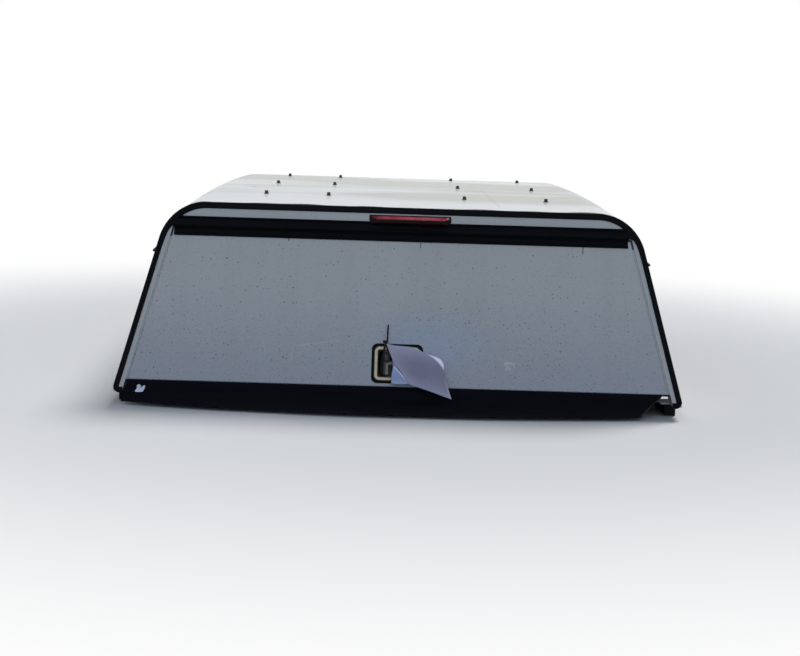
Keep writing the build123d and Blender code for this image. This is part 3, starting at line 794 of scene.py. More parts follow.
@dataclass(frozen=True)
class StripAluminium:
    """Bare aluminium of the strip behind the skirt, with old rubber stuck along its lower half."""

    level: float = 0.0235
    metal: Colour = (0.62, 0.60, 0.63)
    dull: Colour = (0.40, 0.40, 0.41)
    rubber: Colour = (0.030, 0.031, 0.033)

    def make(self) -> bpy.types.Material:
        """Build the material."""
        shader = Shader("bare_aluminium", Specular_IOR_Level=0.3)
        drawn = shader.noise(500.0, 3.0, 0.6, shader.mapped((0.05, 1.0, 1.0)))
        edge = shader.noise(60.0, 3.0) * 0.003
        bare = shader.step(shader.face()[1] + edge, self.level + 0.0008, self.level + 0.0024)
        colour = shader.mix(shader.step(drawn, 0.5, 0.8) * 0.3, self.metal, self.dull)
        colour = shader.mix(bare, self.rubber, colour)
        rough = shader.step(drawn, 0.3, 0.7, 0.28, 0.5)
        normal = shader.bump(drawn, 0.00006)
        return shader.set(Base_Color=colour, Metallic=bare * 0.85, Roughness=rough, Normal=normal).material


@dataclass(frozen=True)
class HandleBlack:
    """Black coating of the handle, with a painted highlight along the bar's right edge."""

    base: Colour = (0.050, 0.053, 0.050)
    paler_tone: Colour = (0.13, 0.13, 0.12)
    # colour of the painted highlight along the bar's right edge
    bare: Colour = (0.26, 0.25, 0.22)

    def make(self) -> bpy.types.Material:
        """Build the material."""
        shader = Shader("handle_black", Specular_IOR_Level=0.2, Metallic=0.2)
        x, up, _ = shader.face()
        cloud = shader.noise(90.0, 4.0, 0.6)
        # Painted highlight along the lower part of the bar's right edge
        lit_patch = shader.step(x + cloud * 0.004, -0.0350, -0.0325) * shader.step(up, 0.100, 0.092)
        colour = shader.mix(shader.step(cloud, 0.45, 0.75) * 0.5, self.base, self.paler_tone)
        colour = shader.mix(lit_patch * 0.85, colour, self.bare)
        rough = shader.step(cloud, 0.3, 0.7, 0.35, 0.6)
        return shader.set(Base_Color=colour, Roughness=rough, Normal=shader.bump(cloud, 0.0001)).material


@dataclass(frozen=True)
class TintedGlass:
    """Dark grey tinted glass with faint dust."""

    tint: Colour = (0.10, 0.115, 0.115)
    dust: Colour = (0.35, 0.34, 0.31)

    def make(self) -> bpy.types.Material:
        """Build the material."""
        shader = Shader("tinted_glass", Transmission_Weight=0.75, IOR=1.45, Specular_IOR_Level=0.5)
        dusty = shader.step(shader.noise(22.0, 5.0, 0.65), 0.5, 0.9)
        colour = shader.mix(dusty * 0.12, self.tint, self.dust)
        return shader.set(Base_Color=colour, Roughness=dusty * 0.10 + 0.03).material


FINISHES = {
    "shell_paint": Gelcoat(Coat.SHELL),
    "door_paint": Gelcoat(Coat.DOOR),
    "liner_paint": Gelcoat(Coat.LINER, (0.74, 0.75, 0.74)),
    "trim_rubber": TrimRubber(),
    "edge_rubber": Plain(
        "edge_rubber", (0.004, 0.0045, 0.007), (0.04, 0.04, 0.045), 0.08, (0.42, 0.65), 420.0, specular=0.05
    ),
    # Pale grey rather than black, so that the gap beside the door shows less shade: painted light
    "gap_lightening_seal": Plain(
        "gap_lightening_seal", (0.42, 0.44, 0.46), (0.24, 0.25, 0.26), 0.4, (0.5, 0.7), 420.0, specular=0.1
    ),
    "seal_foam": Plain(
        "seal_foam", (0.02, 0.02, 0.022), (0.09, 0.09, 0.09), 0.3, (0.8, 0.95), 900.0, 0.0004, specular=0.1
    ),
    "hinge_black": Plain(
        "hinge_black", (0.004, 0.0045, 0.008), (0.030, 0.032, 0.036), 0.12, (0.34, 0.55), 240.0, 0.00004,
        (0.06, 1.0, 1.0), specular=0.035,
    ),
    "black_plastic": Plain(
        "black_plastic", (0.012, 0.012, 0.014), (0.07, 0.07, 0.07), 0.15, (0.4, 0.6), 700.0, specular=0.12
    ),
    "frame_black": Plain(
        "frame_black", (0.016, 0.016, 0.018), (0.09, 0.09, 0.09), 0.12, (0.35, 0.55), 500.0, specular=0.25
    ),
    "bolt_steel": Plain(
        "bolt_steel", (0.05, 0.048, 0.045), (0.22, 0.12, 0.07), 0.35, (0.45, 0.75), 300.0, 0.0002,
        metallic=0.5, specular=0.3,
    ),
    "bare_aluminium": StripAluminium(),
    "zinc": Plain(
        "zinc", (0.31, 0.36, 0.47), (0.11, 0.13, 0.20), 0.75, (0.32, 0.55), 220.0, 0.0001,
        metallic=0.8, specular=0.5,
    ),
    "dish_steel": DishSteel(),
    "handle_black": HandleBlack(),
    "tinted_glass": TintedGlass(),
}

# The door's seal is pale grey so that the gap beside the door shows less shade: painted light
NODE_FINISHES = {"door_seal": "gap_lightening_seal"}


class Workshop:
    """Makes each finish once and hands it out."""

    def __init__(self) -> None:
        """Start with no finish made."""
        self.made: dict[str, bpy.types.Material] = {}

    def finish(self, slot: str) -> bpy.types.Material:
        """The material of a slot."""
        if slot not in self.made:
            self.made[slot] = FINISHES[slot].make()
        return self.made[slot]

    def smooth(self, node: str, body: str, slot: str, sharp: float = 28.0) -> None:
        """Stand a smoothly shaded copy in for a solid.

        Args:
            node: the solid's node.
            body: the body that it rides on.
            slot: its material slot.
            sharp: edges that turn by more degrees stay crisp.
        """
        fit_out(refined_copy(node, f"{node}_finished", sharp), body, slot, self.finish(slot), node)

    def dress_nodes(self, slots: dict[str, str]) -> None:
        """Give every solid that is shown as it is the finish of its slot, or one of its own.

        Args:
            slots: the slot of each node.
        """
        for name, node in frame["nodes"].items():
            node.data.materials.clear()
            node.data.materials.append(self.finish(NODE_FINISHES.get(name, slots[name])))


# Sub-assemblies


SMOOTHED = (
    ("shell", "canopy_shell", "shell_paint"),
    ("door_panel", "rear_door", "door_paint"),
    ("door_inner_panel", "rear_door", "liner_paint"),
    ("hinge_header_rail", "canopy_shell", "hinge_black"),
    ("hinge_door_rail", "rear_door", "hinge_black"),
    ("left_window_frame", "canopy_shell", "frame_black"),
    ("right_window_frame", "canopy_shell", "frame_black"),
    ("front_window_frame", "canopy_shell", "frame_black"),
    ("handle_gasket", "rear_door", "edge_rubber"),
    ("handle_spindle", "latch_handle", "zinc"),
)


@dataclass
class Moulding:
    """The shell, the door and the trims whose solids have the right shape, shaded smoothly.

    Sizes of the bead on the door's edge and of the opening's return beside it are (away from the edge, out),
    and the return's are in millimetres.
    """

    workshop: Workshop
    door_foot: float = 0.0334
    bar_ends: Pair = (0.0345, 0.431)
    bar_rings: int = 60
    bead_centre: Pair = (-0.0004, -0.0017)
    bead_half: Pair = (0.0016, 0.0014)
    bead_points: int = 9
    lip_corners: tuple[Pair, ...] = ((5.4, -5.9), (5.4, -4.4), (1.3, -4.4), (0.8, -5.1), (1.3, -5.9))

    def build(self) -> None:
        """Make the copies of the curved solids, and the gap beside the door."""
        for node, body, slot in SMOOTHED:
            self.workshop.smooth(node, body, slot)
        self.door_gap()

    def door_gap(self) -> None:
        """A rounded bead down each side of the door, and the shallow return of the opening beside it.

        The bead's section is half an ellipse, and the return's a bar with a blunt nose.
        """
        angle = np.linspace(-math.pi / 2, math.pi / 2, self.bead_points)
        bead = np.stack([np.cos(angle), np.sin(angle)], 1) * self.bead_half + self.bead_centre
        lip = MILLIMETRE * np.array(self.lip_corners)
        self.side_bars("door_edge_bead", "rear_door", "door_paint", bead)
        self.side_bars("door_opening_lip", "canopy_shell", "shell_paint", lip)

    def side_bars(self, name: str, body: str, slot: str, section: Array) -> None:
        """A bar of one section down each side of the door, made as one piece.

        It follows the door's edge, a straight line whose distance from the middle falls by the side's slope
        times the height.

        Args:
            name: the piece's name.
            body: the body that it rides on.
            slot: its material slot.
            section: its outline as (away from the door's edge, out).
        """
        u = np.linspace(*self.bar_ends, self.bar_rings)
        low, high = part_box("door_panel")
        foot = max(abs(low[0]), high[0]) + (self.door_foot * math.cos(FACE.lean)) * FACE.side_slope
        parts = []
        for side in (-1, 1):
            edge = side * (foot - u * math.cos(FACE.lean) * FACE.side_slope)
            x = edge[:, None] + side * section[:, 0]
            n = np.broadcast_to(section[:, 1], x.shape)
            parts.append((FACE.point(x, u[:, None], n), tube_faces(*x.shape)))
        fit_out(make_piece(name, *joined(parts)), body, slot, self.workshop.finish(slot))


@dataclass
class EdgeTrim:
    """Black rubber trim pushed over the shell's rear edge, wavy along the roof and turned in at the feet."""

    workshop: Workshop
    thickness: float = 0.0033
    face_width: float = 0.0118
    roof_extra: float = 0.0030
    side_width: float = 0.0117
    clearance: float = 0.0002
    face_round: float = 0.0015
    side_round: float = 0.0012
    wave: float = 0.0062
    roof_from: float = 0.40
    roof_blend: float = 0.08
    foot_radius: float = 0.0130
    foot_length: float = 0.0255
    foot_points: int = 14
    count: int = 420

    def profile(self) -> Array:
        """The trim's section: an angle with a rounded nose, from its lip on the face to its lip on the side.

        Returns:
            Rows of the distance inwards across the face and the distance out of it.
        """
        t, face, side = self.thickness, self.face_width, self.side_width
        nose = np.linspace(0, math.pi / 2, 9)
        corner = np.stack([-t * 0.1 - 0.9 * t * np.sin(nose), 0.1 * t + 0.9 * t * np.cos(nose)], 1)
        turn = np.linspace(0, math.pi / 2, 5)
        quarter = np.stack([np.cos(turn), np.sin(turn)], 1)
        face_end = np.array([face - self.face_round, t - self.face_round]) + self.face_round * quarter
        side_end = np.array([-t + self.side_round, -side + self.side_round]) - self.side_round * quarter
        return np.vstack([[[face, self.clearance]], face_end, corner, side_end, [[0.0, -side], [0.0, 0.0]]])

    def path(self) -> Array:
        """The shell's edge with a foot at each end.

        A foot is an arc that touches the edge and the level line through the shell's lowest point, and then
        runs inwards along that line.

        Returns:
            Rows of x and the distance up the face, from the left foot's inner end to the right one's.
        """
        line = FACE.outline(self.count)
        corner, leg = line[-1], line[-1] - line[-9]
        leg = leg / np.linalg.norm(leg)
        lean = math.atan2(leg[0], -leg[1])
        reach = self.foot_radius * math.tan((math.pi / 2 + lean) / 2)
        start = corner - reach * leg
        centre = start - self.foot_radius * np.array([math.cos(lean), math.sin(lean)])
        turn = np.linspace(lean, -math.pi / 2, self.foot_points)
        arc = centre + self.foot_radius * np.stack([np.cos(turn), np.sin(turn)], 1)
        end = np.array([[corner[0] - self.foot_length, corner[1]]])
        foot = np.vstack([arc, (arc[-1] + end) / 2, end])
        kept = line[line[:, 1] > start[1] + 0.001]
        return np.vstack([(foot * [-1, 1])[::-1], kept, foot])

    def build(self) -> None:
        """Carry the section along the edge.

        Each ring stands square to the edge in the plane of the face. On the roof its leaf on the face is
        wider, and its side lip flares up from the nose by the share of its width times a sum of three sines
        of the distance along the edge.
        """
        line = self.path()
        along = np.gradient(line, axis=0)
        along /= np.linalg.norm(along, axis=1, keepdims=True)
        inward = np.stack([along[:, 1], -along[:, 0]], 1)
        profile = self.profile()
        place = np.concatenate([[0], np.cumsum(np.linalg.norm(np.diff(line, axis=0), axis=1))])
        on_roof = np.clip((line[:, 1] - self.roof_from) / self.roof_blend, 0, 1)
        ripple = (np.sin(23 * place + 1) + np.sin(41 * place + 2) + np.sin(9 * place)) / 3
        lift = self.wave * on_roof * (0.5 + 0.5 * ripple)
        flare = np.clip(-profile[:, 1] / self.side_width, 0, 1)
        widen = np.clip(profile[:, 0] / self.face_width, 0, 1)
        inwards = profile[None, :, 0] - lift[:, None] * flare[None, :]
        inwards = inwards + self.roof_extra * on_roof[:, None] * widen[None, :]
        x = line[:, 0, None] + inward[:, 0, None] * inwards
        u = line[:, 1, None] + inward[:, 1, None] * inwards
        n = np.broadcast_to(profile[None, :, 1], x.shape)
        piece = make_piece("edge_trim", FACE.point(x, u, n), tube_faces(*x.shape))
        fit_out(piece, "canopy_shell", "edge_rubber", self.workshop.finish("trim_rubber"), "rear_edge_trim")


@dataclass
class BrakeLight:
    """Red wedge lens over its black base on the header."""

    workshop: Workshop
    edge: float = 0.0012
    flute_rate: float = 2200.0
    bleached: Colour = (0.13, 0.014, 0.024)
    # colour of the painted highlight streak on the upper face
    highlight_tint: Colour = (0.55, 0.095, 0.135)
    dark: Colour = (0.026, 0.004, 0.006)

    def build(self) -> None:
        """Round the lens's edges."""
        piece = refined_copy("brake_light_lens", "brake_light_moulding", 20.0)
        corner = math.radians(25)
        modifier(piece, "BEVEL", width=self.edge, segments=3, limit_method="ANGLE", angle_limit=corner)
        fit_out(piece, "canopy_shell", "lens_red", self.workshop.finish("lens_red"), "brake_light_lens")

    def lens(self) -> bpy.types.Material:
        """Red lens, bleached on its sloping upper face with a painted highlight streak and glint, and dark
        below with fine flutes.

        The flutes are upright: their height is the sine of the place across times the flute rate.
        """
        shader = Shader("brake_lens_red", Specular_IOR_Level=0.05, Coat_Roughness=0.08)
        x, _, z = shader.axes()
        along = shader.noise(16.0, 3.0, 0.6, shader.mapped((1.0, 0.2, 0.2)))
        top = shader.step(z, 0.5108, 0.5126) * shader.step(abs(x - 0.020), 0.1085, 0.1040)
        # Painted highlight streak along the upper face, then a painted glint near its right end
        streak = shader.step(abs(z - 0.5160), 0.0042, 0.0012) * shader.step(x, -0.075, -0.045, 0.25, 1.0)
        streak = streak * shader.step(along, 0.30, 0.60, 0.55, 1.0)
        bleached = shader.mix(streak, self.bleached, self.highlight_tint)
        glint = shader.step(shader.distance((0.1235, -0.760, 0.5165), (1.0, 0.3, 1.0)), 0.0045, 0.0015)
        bleached = shader.mix(glint * 0.8, bleached, (0.95, 0.55, 0.60))
        colour = shader.mix(top, self.dark, bleached)
        flute = shader.node("ShaderNodeMath", {"operation": "SINE"}, {0: x * self.flute_rate})
        rough = shader.step(along, 0.3, 0.7, 0.14, 0.30)
        normal = shader.bump(flute, 0.00018, 0.6)
        return shader.set(Base_Color=colour, Roughness=rough, Coat_Weight=top * 0.10, Normal=normal).material


@dataclass
class Skirt:
    """Rubber sheet that hangs from the door's bottom edge and bows outwards, its right corner torn off."""

    workshop: Workshop
    thickness: float = 0.0038
    straight: float = 0.032
    straight_share: float = 0.45
    door_bottom: float = 0.0334
    overlap: float = 0.0004
    half: float = 0.7322
    foot: float = 0.0088
    end_reach: float = 0.008
    inset: float = 0.0085
    buckle: float = 0.0012
    tear_start: float = 0.015
    tear_end: float = 0.0775
    tear_top: float = 0.063
    tear_margin: float = 0.010
    columns: tuple[int, int] = (190, 90)
    rows: int = 30
    samples: int = 200
    black: Colour = (0.004, 0.0048, 0.0085)
    dust: Colour = (0.016, 0.018, 0.023)
    torn: Colour = (0.10, 0.10, 0.102)

    @property
    def tear_slope(self) -> float:
        """Rise of the torn edge for each metre across."""
        return (self.tear_top - self.foot) / (self.tear_end - self.tear_start)

    def curved(self, place: Array) -> Array:
        """Share of the curved part that lies above a place down the sheet, 0 on the straight part."""
        return np.clip((place - self.straight_share) / (1 - self.straight_share), 0, 1)

    def fall(self, place: Array, top: float, knee: float, bend: float, foot: Array | float) -> Array:
        """One coordinate down a column: a straight line to the knee, then a curve of the second degree.

        Args:
            place: places down the column, 0 at its top and 1 at its foot.
            top: the coordinate at the top.
            knee: the coordinate where the curve starts.
            bend: that of the curve's middle control point.
            foot: that of its end.

        Returns:
            The coordinate at each place.
        """
        first = np.clip(place / self.straight_share, 0, 1)
        second = self.curved(place)
        curve = (1 - second) ** 2 * knee + 2 * second * (1 - second) * bend + second**2 * foot
        return np.where(place < self.straight_share, top + first * (knee - top), curve)

    def cut(self, across: Array, spread: Array, top: float) -> Array:
        """Height at which each column ends: the foot, or where it meets the tear.

        The tear is a straight line with a ripple of two sines.

        Args:
            across: the columns' places across the door.
            spread: how far each leans outwards for each metre down.
            top: height of the sheet's top.

        Returns:
            The heights.
        """
        start = self.tear_top - self.tear_slope * (self.half - self.tear_start)
        cut = (start + self.tear_slope * (across + spread * top)) / (1 + self.tear_slope * spread)
        cut += 0.0007 * np.sin(310 * across) + 0.0005 * np.sin(811 * across + 1)
        return np.clip(cut, self.foot, self.tear_top + 0.0003)

    def build(self) -> None:
        """Make the sheet.

        The outer side is a grid: across the door by down the sheet. Down from the door each column falls
        straight and then in a curve to a foot whose reach is a parabola across the door. The columns spread
        sideways as they come down, as the shell's sides do. The inner side lies a thickness behind the outer
        one.
        """
        low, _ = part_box("door_skirt")
        torn = self.half - self.tear_end - self.tear_margin
        whole, ragged = self.columns
        across = np.linspace(-self.half, torn, whole)
        across = np.concatenate([across, np.linspace(torn, self.half, ragged)[1:]])
        bow = 1 - (across / self.half) ** 2
        reach = self.end_reach + (FACE.foot_y - low[1] - self.inset) * bow
        spread = FACE.side_slope * across / self.half
        top = FACE.point(0.0, self.door_bottom - self.overlap, 0.0)[1:]
        knee = FACE.point(0.0, self.door_bottom - self.straight, 0.0)[1:]
        bend = knee - 0.5 * (knee[1] - self.foot) * np.array([math.tan(FACE.lean), 1.0])
        share = np.linspace(0, 1, self.samples)
        level = self.fall(share, top[1], knee[1], bend[1], self.foot)
        length = np.interp(-self.cut(across, spread, top[1]), -level, share)
        t = np.linspace(0, 1, self.rows)[:, None] * length[None, :]
        y = self.fall(t, top[0], knee[0], bend[0], FACE.foot_y - reach)
        y = y + self.buckle * np.sin(17 * across + 1) * self.curved(t) ** 2 * bow
        z = np.interp(t, share, level)
        outer = np.stack([across + spread * (top[1] - z), y, z], -1)
        tangent = np.gradient(outer[..., 1:], axis=0)
        tangent /= np.linalg.norm(tangent, axis=-1, keepdims=True)
        inner = outer.copy()
        inner[..., 1:] += self.thickness * np.stack([-tangent[..., 1], tangent[..., 0]], -1)
        inner[..., 2] = np.maximum(inner[..., 2], self.foot)
        sheet = np.concatenate([outer, inner[::-1]], 0).transpose(1, 0, 2)
        piece = make_piece("skirt_sheet", sheet, tube_faces(*sheet.shape[:2]), sharp=50.0)
        fit_out(piece, "rear_door", "skirt_rubber", self.workshop.finish("skirt_rubber"), "door_skirt")

    def rubber(self) -> bpy.types.Material:
        """Black rubber, paler along the torn edge, whose height is a straight line of the place across."""
        shader = Shader("skirt_rubber", Specular_IOR_Level=0.032)
        x, _, z = shader.axes()
        stretch = (1.0, 3.0, 3.0)
        cloud = shader.noise(14.0, 4.0, 0.6, shader.mapped(stretch))
        fine = shader.noise(160.0, 3.0, 0.6, shader.mapped(stretch))
        dust = shader.step(cloud, 0.42, 0.78) * 0.25 + shader.step(fine, 0.55, 0.85) * 0.15
        colour = shader.mix(dust, self.black, self.dust)
        slope = self.tear_slope
        above = z - x * slope - (self.tear_top - slope * (self.half - self.tear_start))
        torn = shader.step(abs(above), 0.0032, 0.0012) * (x > 0.5)
        colour = shader.mix(torn * 0.8, colour, self.torn)
        rough = shader.step(cloud, 0.3, 0.75, 0.45, 0.68)
        return shader.set(Base_Color=colour, Roughness=rough, Normal=shader.bump(fine, 0.00006)).material


@dataclass(frozen=True)
class LeafEdges:
    """Corners of a leaf's free edges in millimetres from the dish's middle; right and left run down."""

    right: tuple[Pair, ...]
    bottom: tuple[Pair, ...]
    left: tuple[Pair, ...]


@dataclass
class Notice:
    """Blank folded sheet that hangs from the cable tie in front of the latch."""

    workshop: Workshop
    centre: Pair = (-0.005, 0.0964)
    level: float = 0.0206
    front_gap: float = 0.0042
    belly: float = 0.0022
    curl: float = 0.007
    fold_rise: float = 0.0012
    thickness: float = 0.0007
    rows: int = 48
    columns: int = 44
    fold_rows: int = 5
    fold_line: tuple[Pair, ...] = ((-30, 49.8), (-7, 45.5), (31, 43.0), (52, 38.5), (67.5, 30))
    front: LeafEdges = LeafEdges(
        ((67.5, 30), (88, 21), (107, 6.9), (122.5, -12), (129.8, -32), (137, -59), (145.9, -87),
         (148.8, -95.7)),
        ((33.4, -57.8), (58, -65.5), (90.4, -75.5), (126, -88), (148.8, -95.7)),
        ((-30, 49.8), (-20.2, 24.8), (-7.5, -2), (8.5, -22), (33.4, -57.8)),
    )
    back: LeafEdges = LeafEdges(
        ((67.5, 30), (80, 23), (92, 22.5), (104, 19.5), (118, 12), (125.5, 0), (126, -14), (118, -50)),
        ((-14.5, -57), (9.2, -58.5), (33.4, -57), (70, -55), (118, -50)),
        ((-30, 49.8), (-17, 20), (-11.5, -5), (-14, -30.5), (-14.5, -57)),
    )

    @staticmethod
    def curve(corners: tuple[Pair, ...], count: int) -> Array:
        """Even points on a smooth line through corners.

        Between two corners the line is a cubic that leaves each one parallel to the line between its
        neighbours.

        Args:
            corners: places in millimetres from the dish's middle.
            count: number of points.

        Returns:
            The points, in metres.
        """
        knots = MILLIMETRE * np.array(corners, float)
        padded = np.vstack([2 * knots[0] - knots[1], knots, 2 * knots[-1] - knots[-2]])
        length = np.concatenate([[0], np.cumsum(np.linalg.norm(np.diff(knots, axis=0), axis=1))])
        place = np.linspace(0, length[-1], count)
        part = np.clip(np.searchsorted(length, place, side="right") - 1, 0, len(knots) - 2)
        t = ((place - length[part]) / np.diff(length)[part])[:, None]
        a, b, c, d = (padded[part + i] for i in range(4))
        cubic = 2 * b + (c - a) * t + (2 * a - 5 * b + 4 * c - d) * t**2 + (3 * b - a - 3 * c + d) * t**3
        return 0.5 * cubic

    def leaf(self, edges: LeafEdges, out: Array) -> Array:
        """A leaf between the fold and its three free edges.

        Each point is the blend of the upper and lower edge plus that of the left and right edge, less the
        blend of the four corners.

        Args:
            edges: the free edges.
            out: the leaf's distance out of the door at each point.

        Returns:
            The points in the face's own axes: across, up and out.
        """
        upper, lower = (self.curve(line, self.columns)[None] for line in (self.fold_line, edges.bottom))
        near, far = (self.curve(line, self.rows)[:, None] for line in (edges.left, edges.right))
        s = np.linspace(0, 1, self.columns)[None, :, None]
        t = np.linspace(0, 1, self.rows)[:, None, None]
        place = (1 - t) * upper + t * lower + (1 - s) * near + s * far
        place = place - (1 - t) * ((1 - s) * upper[:, :1] + s * upper[:, -1:])
        place = place - t * ((1 - s) * lower[:, :1] + s * lower[:, -1:])
        return np.concatenate([place + np.array(self.centre), out[..., None]], -1)

    def build(self) -> None:
        """Place both leaves and the fold between them, then thicken them.

        The front leaf bellies by a sine each way and its free corner curls by powers of both places. The
        fold is half an ellipse between the leaves' upper edges.
        """
        s, t = np.meshgrid(np.linspace(0, 1, self.columns), np.linspace(0, 1, self.rows))
        belly = self.belly * np.sin(math.pi * s) * np.sin(0.8 * math.pi * t)
        front = self.leaf(self.front, self.level + self.front_gap + belly + self.curl * s**3 * t**5)
        back = self.leaf(self.back, self.level + 0.0006 * np.sin(5 * s) + 0.0008 * t)
        turn = np.linspace(0, math.pi, self.fold_rows + 2)[1:-1, None]
        start = (front[0] + back[0]) / 2
        radius = (front[0, :, 2] - back[0, :, 2]) / 2
        up = start[:, 1] + self.fold_rise * np.sin(turn)
        out = start[:, 2] + np.cos(turn) * radius
        fold = np.stack([np.broadcast_to(start[:, 0], up.shape), up, out], -1)
        rows = np.concatenate([front[::-1], fold, back], 0)
        points = FACE.point(rows[..., 0], rows[..., 1], rows[..., 2])
        piece = make_piece("folded_notice", points, grid_faces(*rows.shape[:2]), sharp=None)
        self.map_leaves(piece)
        modifier(piece, "SOLIDIFY", thickness=self.thickness, offset=0.0)
        fit_out(piece, "latch_handle", "sheet_paper", self.workshop.finish("sheet_paper"), "notice_sheet")

    def map_leaves(self, piece: bpy.types.Object) -> None:
        """Give the sheet a map of the place across a leaf and the place down it, negative on the back leaf.

        Args:
            piece: the sheet, whose rows run from the front leaf's foot over the fold to the back one's.
        """
        leaf, fold = np.linspace(0, 1, self.rows), np.zeros(self.fold_rows)
        down = np.concatenate([leaf[::-1], fold, -leaf])
        across, down = np.meshgrid(np.linspace(0, 1, self.columns), down)
        loops = np.empty(len(piece.data.loops), int)
        piece.data.loops.foreach_get("vertex_index", loops)
        layer = piece.data.uv_layers.new(name="leaf")
        layer.data.foreach_set("uv", np.stack([across, down], -1).reshape(-1, 2)[loops].ravel())

    def paper(self) -> bpy.types.Material:
        """Blank paper, light painted in: the front leaf shaded grey in its middle, the back leaf and lower
        edges pale blue.

        The piece's own map gives the place across a leaf and the place down it, negative on the back leaf.
        """
        shader = Shader("notice_paper", Specular_IOR_Level=0.10)
        across, down, _ = shader.axes(shader.node("ShaderNodeUVMap", {"uv_map": "leaf"}))
        cloud = shader.noise(26.0, 4.0, 0.6)
        # The front leaf, tinted lavender for the cool light on it, with painted shade in its middle, where
        # it bellies out
        middle = shader.step(abs(down - 0.55), 0.50, 0.08) * shader.step(across, -0.1, 0.35)
        front = shader.mix(middle * (cloud * 0.6 + 0.55), (0.76, 0.73, 0.96), (0.47, 0.46, 0.63))
        fleck = shader.step(shader.noise(75.0, 5.0, 0.7), 0.50, 0.72)
        front = shader.mix(fleck * middle * 0.22, front, (0.34, 0.34, 0.48))
        # Painted highlights along the fold and the left edge
        front = shader.mix(shader.step(down, 0.10, 0.02) * 0.35, front, (0.92, 0.88, 1.0))
        front = shader.mix(shader.step(across, 0.06, 0.01) * 0.30, front, (0.85, 0.86, 1.0))
        # Painted highlight along the lower edge
        lit_lower_edge = shader.step(down, 0.91, 0.96) * shader.step(across, 0.98, 0.80, 0.4, 0.9)
        front = shader.mix(lit_lower_edge, front, (0.70, 0.76, 1.0))
        # Painted highlight along the right edge
        side = shader.step(across, 0.93, 0.985) * shader.step(down, 0.5, 0.9)
        front = shader.mix(side * 0.7, front, (0.98, 0.92, 1.0))
        # The back leaf, tinted blue for the cool light on it
        behind = shader.mix(shader.step(cloud, 0.4, 0.65) * 0.3, (0.50, 0.60, 1.0), (0.36, 0.45, 0.78))
        # A painted highlight along a line of the back leaf, and a painted shadow beside it
        crease_shading = shader.line((-0.0143, 0.0869), (0.0275, 0.0424), 0.0024)
        behind = shader.mix(crease_shading * 0.9, behind, (0.90, 0.92, 1.0))
        shade = shader.line((-0.0075, 0.0869), (0.0335, 0.0424), 0.0040)
        behind = shader.mix(shade * (1.0 - crease_shading) * 0.6, behind, (0.30, 0.36, 0.62))
        # Painted highlight along the back leaf's lower edge
        behind = shader.mix(shader.step(down, -0.90, -0.95) * 0.6, behind, (0.66, 0.74, 1.0))
        # Painted sunlight on the back leaf's right end
        sunlit_tip = shader.step(across, 0.70, 0.80)
        behind = shader.mix(sunlit_tip, behind, (0.74, 0.75, 0.92))
        on_front = shader.step(down, -0.002, 0.002)
        colour = shader.mix(on_front, behind, front)
        # Metallic sheen on the back leaf, so that it reflects the white surroundings: a painted sheen
        shine = (1.0 - on_front) * (sunlit_tip * 0.36 + crease_shading * 0.15 + 0.10)
        crumple = shader.bump(shader.noise(34.0, 6.0, 0.7), 0.0012, 0.7)
        normal = shader.bump(shader.noise(900.0, 2.0), 0.00004, 1.0, crumple)
        rough = cloud * 0.2 + 0.5
        return shader.set(Base_Color=colour, Roughness=rough, Metallic=shine, Normal=normal).material


@dataclass
class RoofBolts:
    """Bolts and washers left on the roof."""

    workshop: Workshop
    columns: tuple[float, ...] = (-0.405, -0.220, 0.184, 0.427)
    rear_gap: float = 0.365
    front_gap: float = 0.194
    middle_shift: float = -0.050
    washer: float = 0.0074
    washer_rim: float = 0.0010
    washer_top: float = 0.0014
    head: float = 0.0050
    height: float = 0.0078
    clearance: float = 0.0003
    round_points: int = 36

    def bolt(self) -> tuple[Array, list]:
        """One bolt on its washer, about the middle.

        Each ring has a radius, the share of a hexagon in its outline, and a height: from the washer's edge
        over its flat to the head, and over a bevel to a shallow dome. The hexagon's radius at an angle is
        the head's half width over the cosine of the angle from the nearest flat.

        Returns:
            Its points and faces.
        """
        angle = np.linspace(0, 2 * math.pi, self.round_points, endpoint=False)
        hexagon = 1 / np.cos((angle + math.pi / 6) % (math.pi / 3) - math.pi / 6)
        base, top = self.washer_top, self.washer_top + self.height
        rings = (
            (self.washer, 0, 0.0),
            (self.washer, 0, self.washer_rim),
            (self.washer - 0.0004, 0, base),
            (self.head * 1.1, 0.6, base),
            (self.head, 1, 0.0016),
            (self.head, 1, base + self.height * 0.82),
            (self.head * 0.94, 0.35, base + self.height * 0.96),
            (self.head * 0.55, 0, top),
            (self.head * 0.20, 0, top),
        )
        radius = np.array([r * (share * hexagon + (1 - share)) for r, share, _ in rings])
        level = np.broadcast_to(np.array([z for _, _, z in rings])[:, None], radius.shape)
        points = np.stack([radius * np.cos(angle), radius * np.sin(angle), level], -1).reshape(-1, 3)
        return points, tube_faces(*radius.shape)

    def build(self) -> None:
        """Turn one bolt and repeat it in three rows across the roof."""
        points, faces = self.bolt()
        front = FACE.foot_y + FACE.length - FACE.roof_height * math.tan(FACE.front_lean) - self.front_gap
        rear = FACE.roof_rear + self.rear_gap
        parts = []
        for y in (rear, (rear + front) / 2 + self.middle_shift, front):
            for x in self.columns:
                place = np.array([x, y, float(FACE.roof_at(y)) + self.clearance])
                parts.append((points + place, faces))
        piece = make_piece("rack_bolts", *joined(parts))
        fit_out(piece, "canopy_shell", "bolt_steel", self.workshop.finish("bolt_steel"), "roof_bolts")


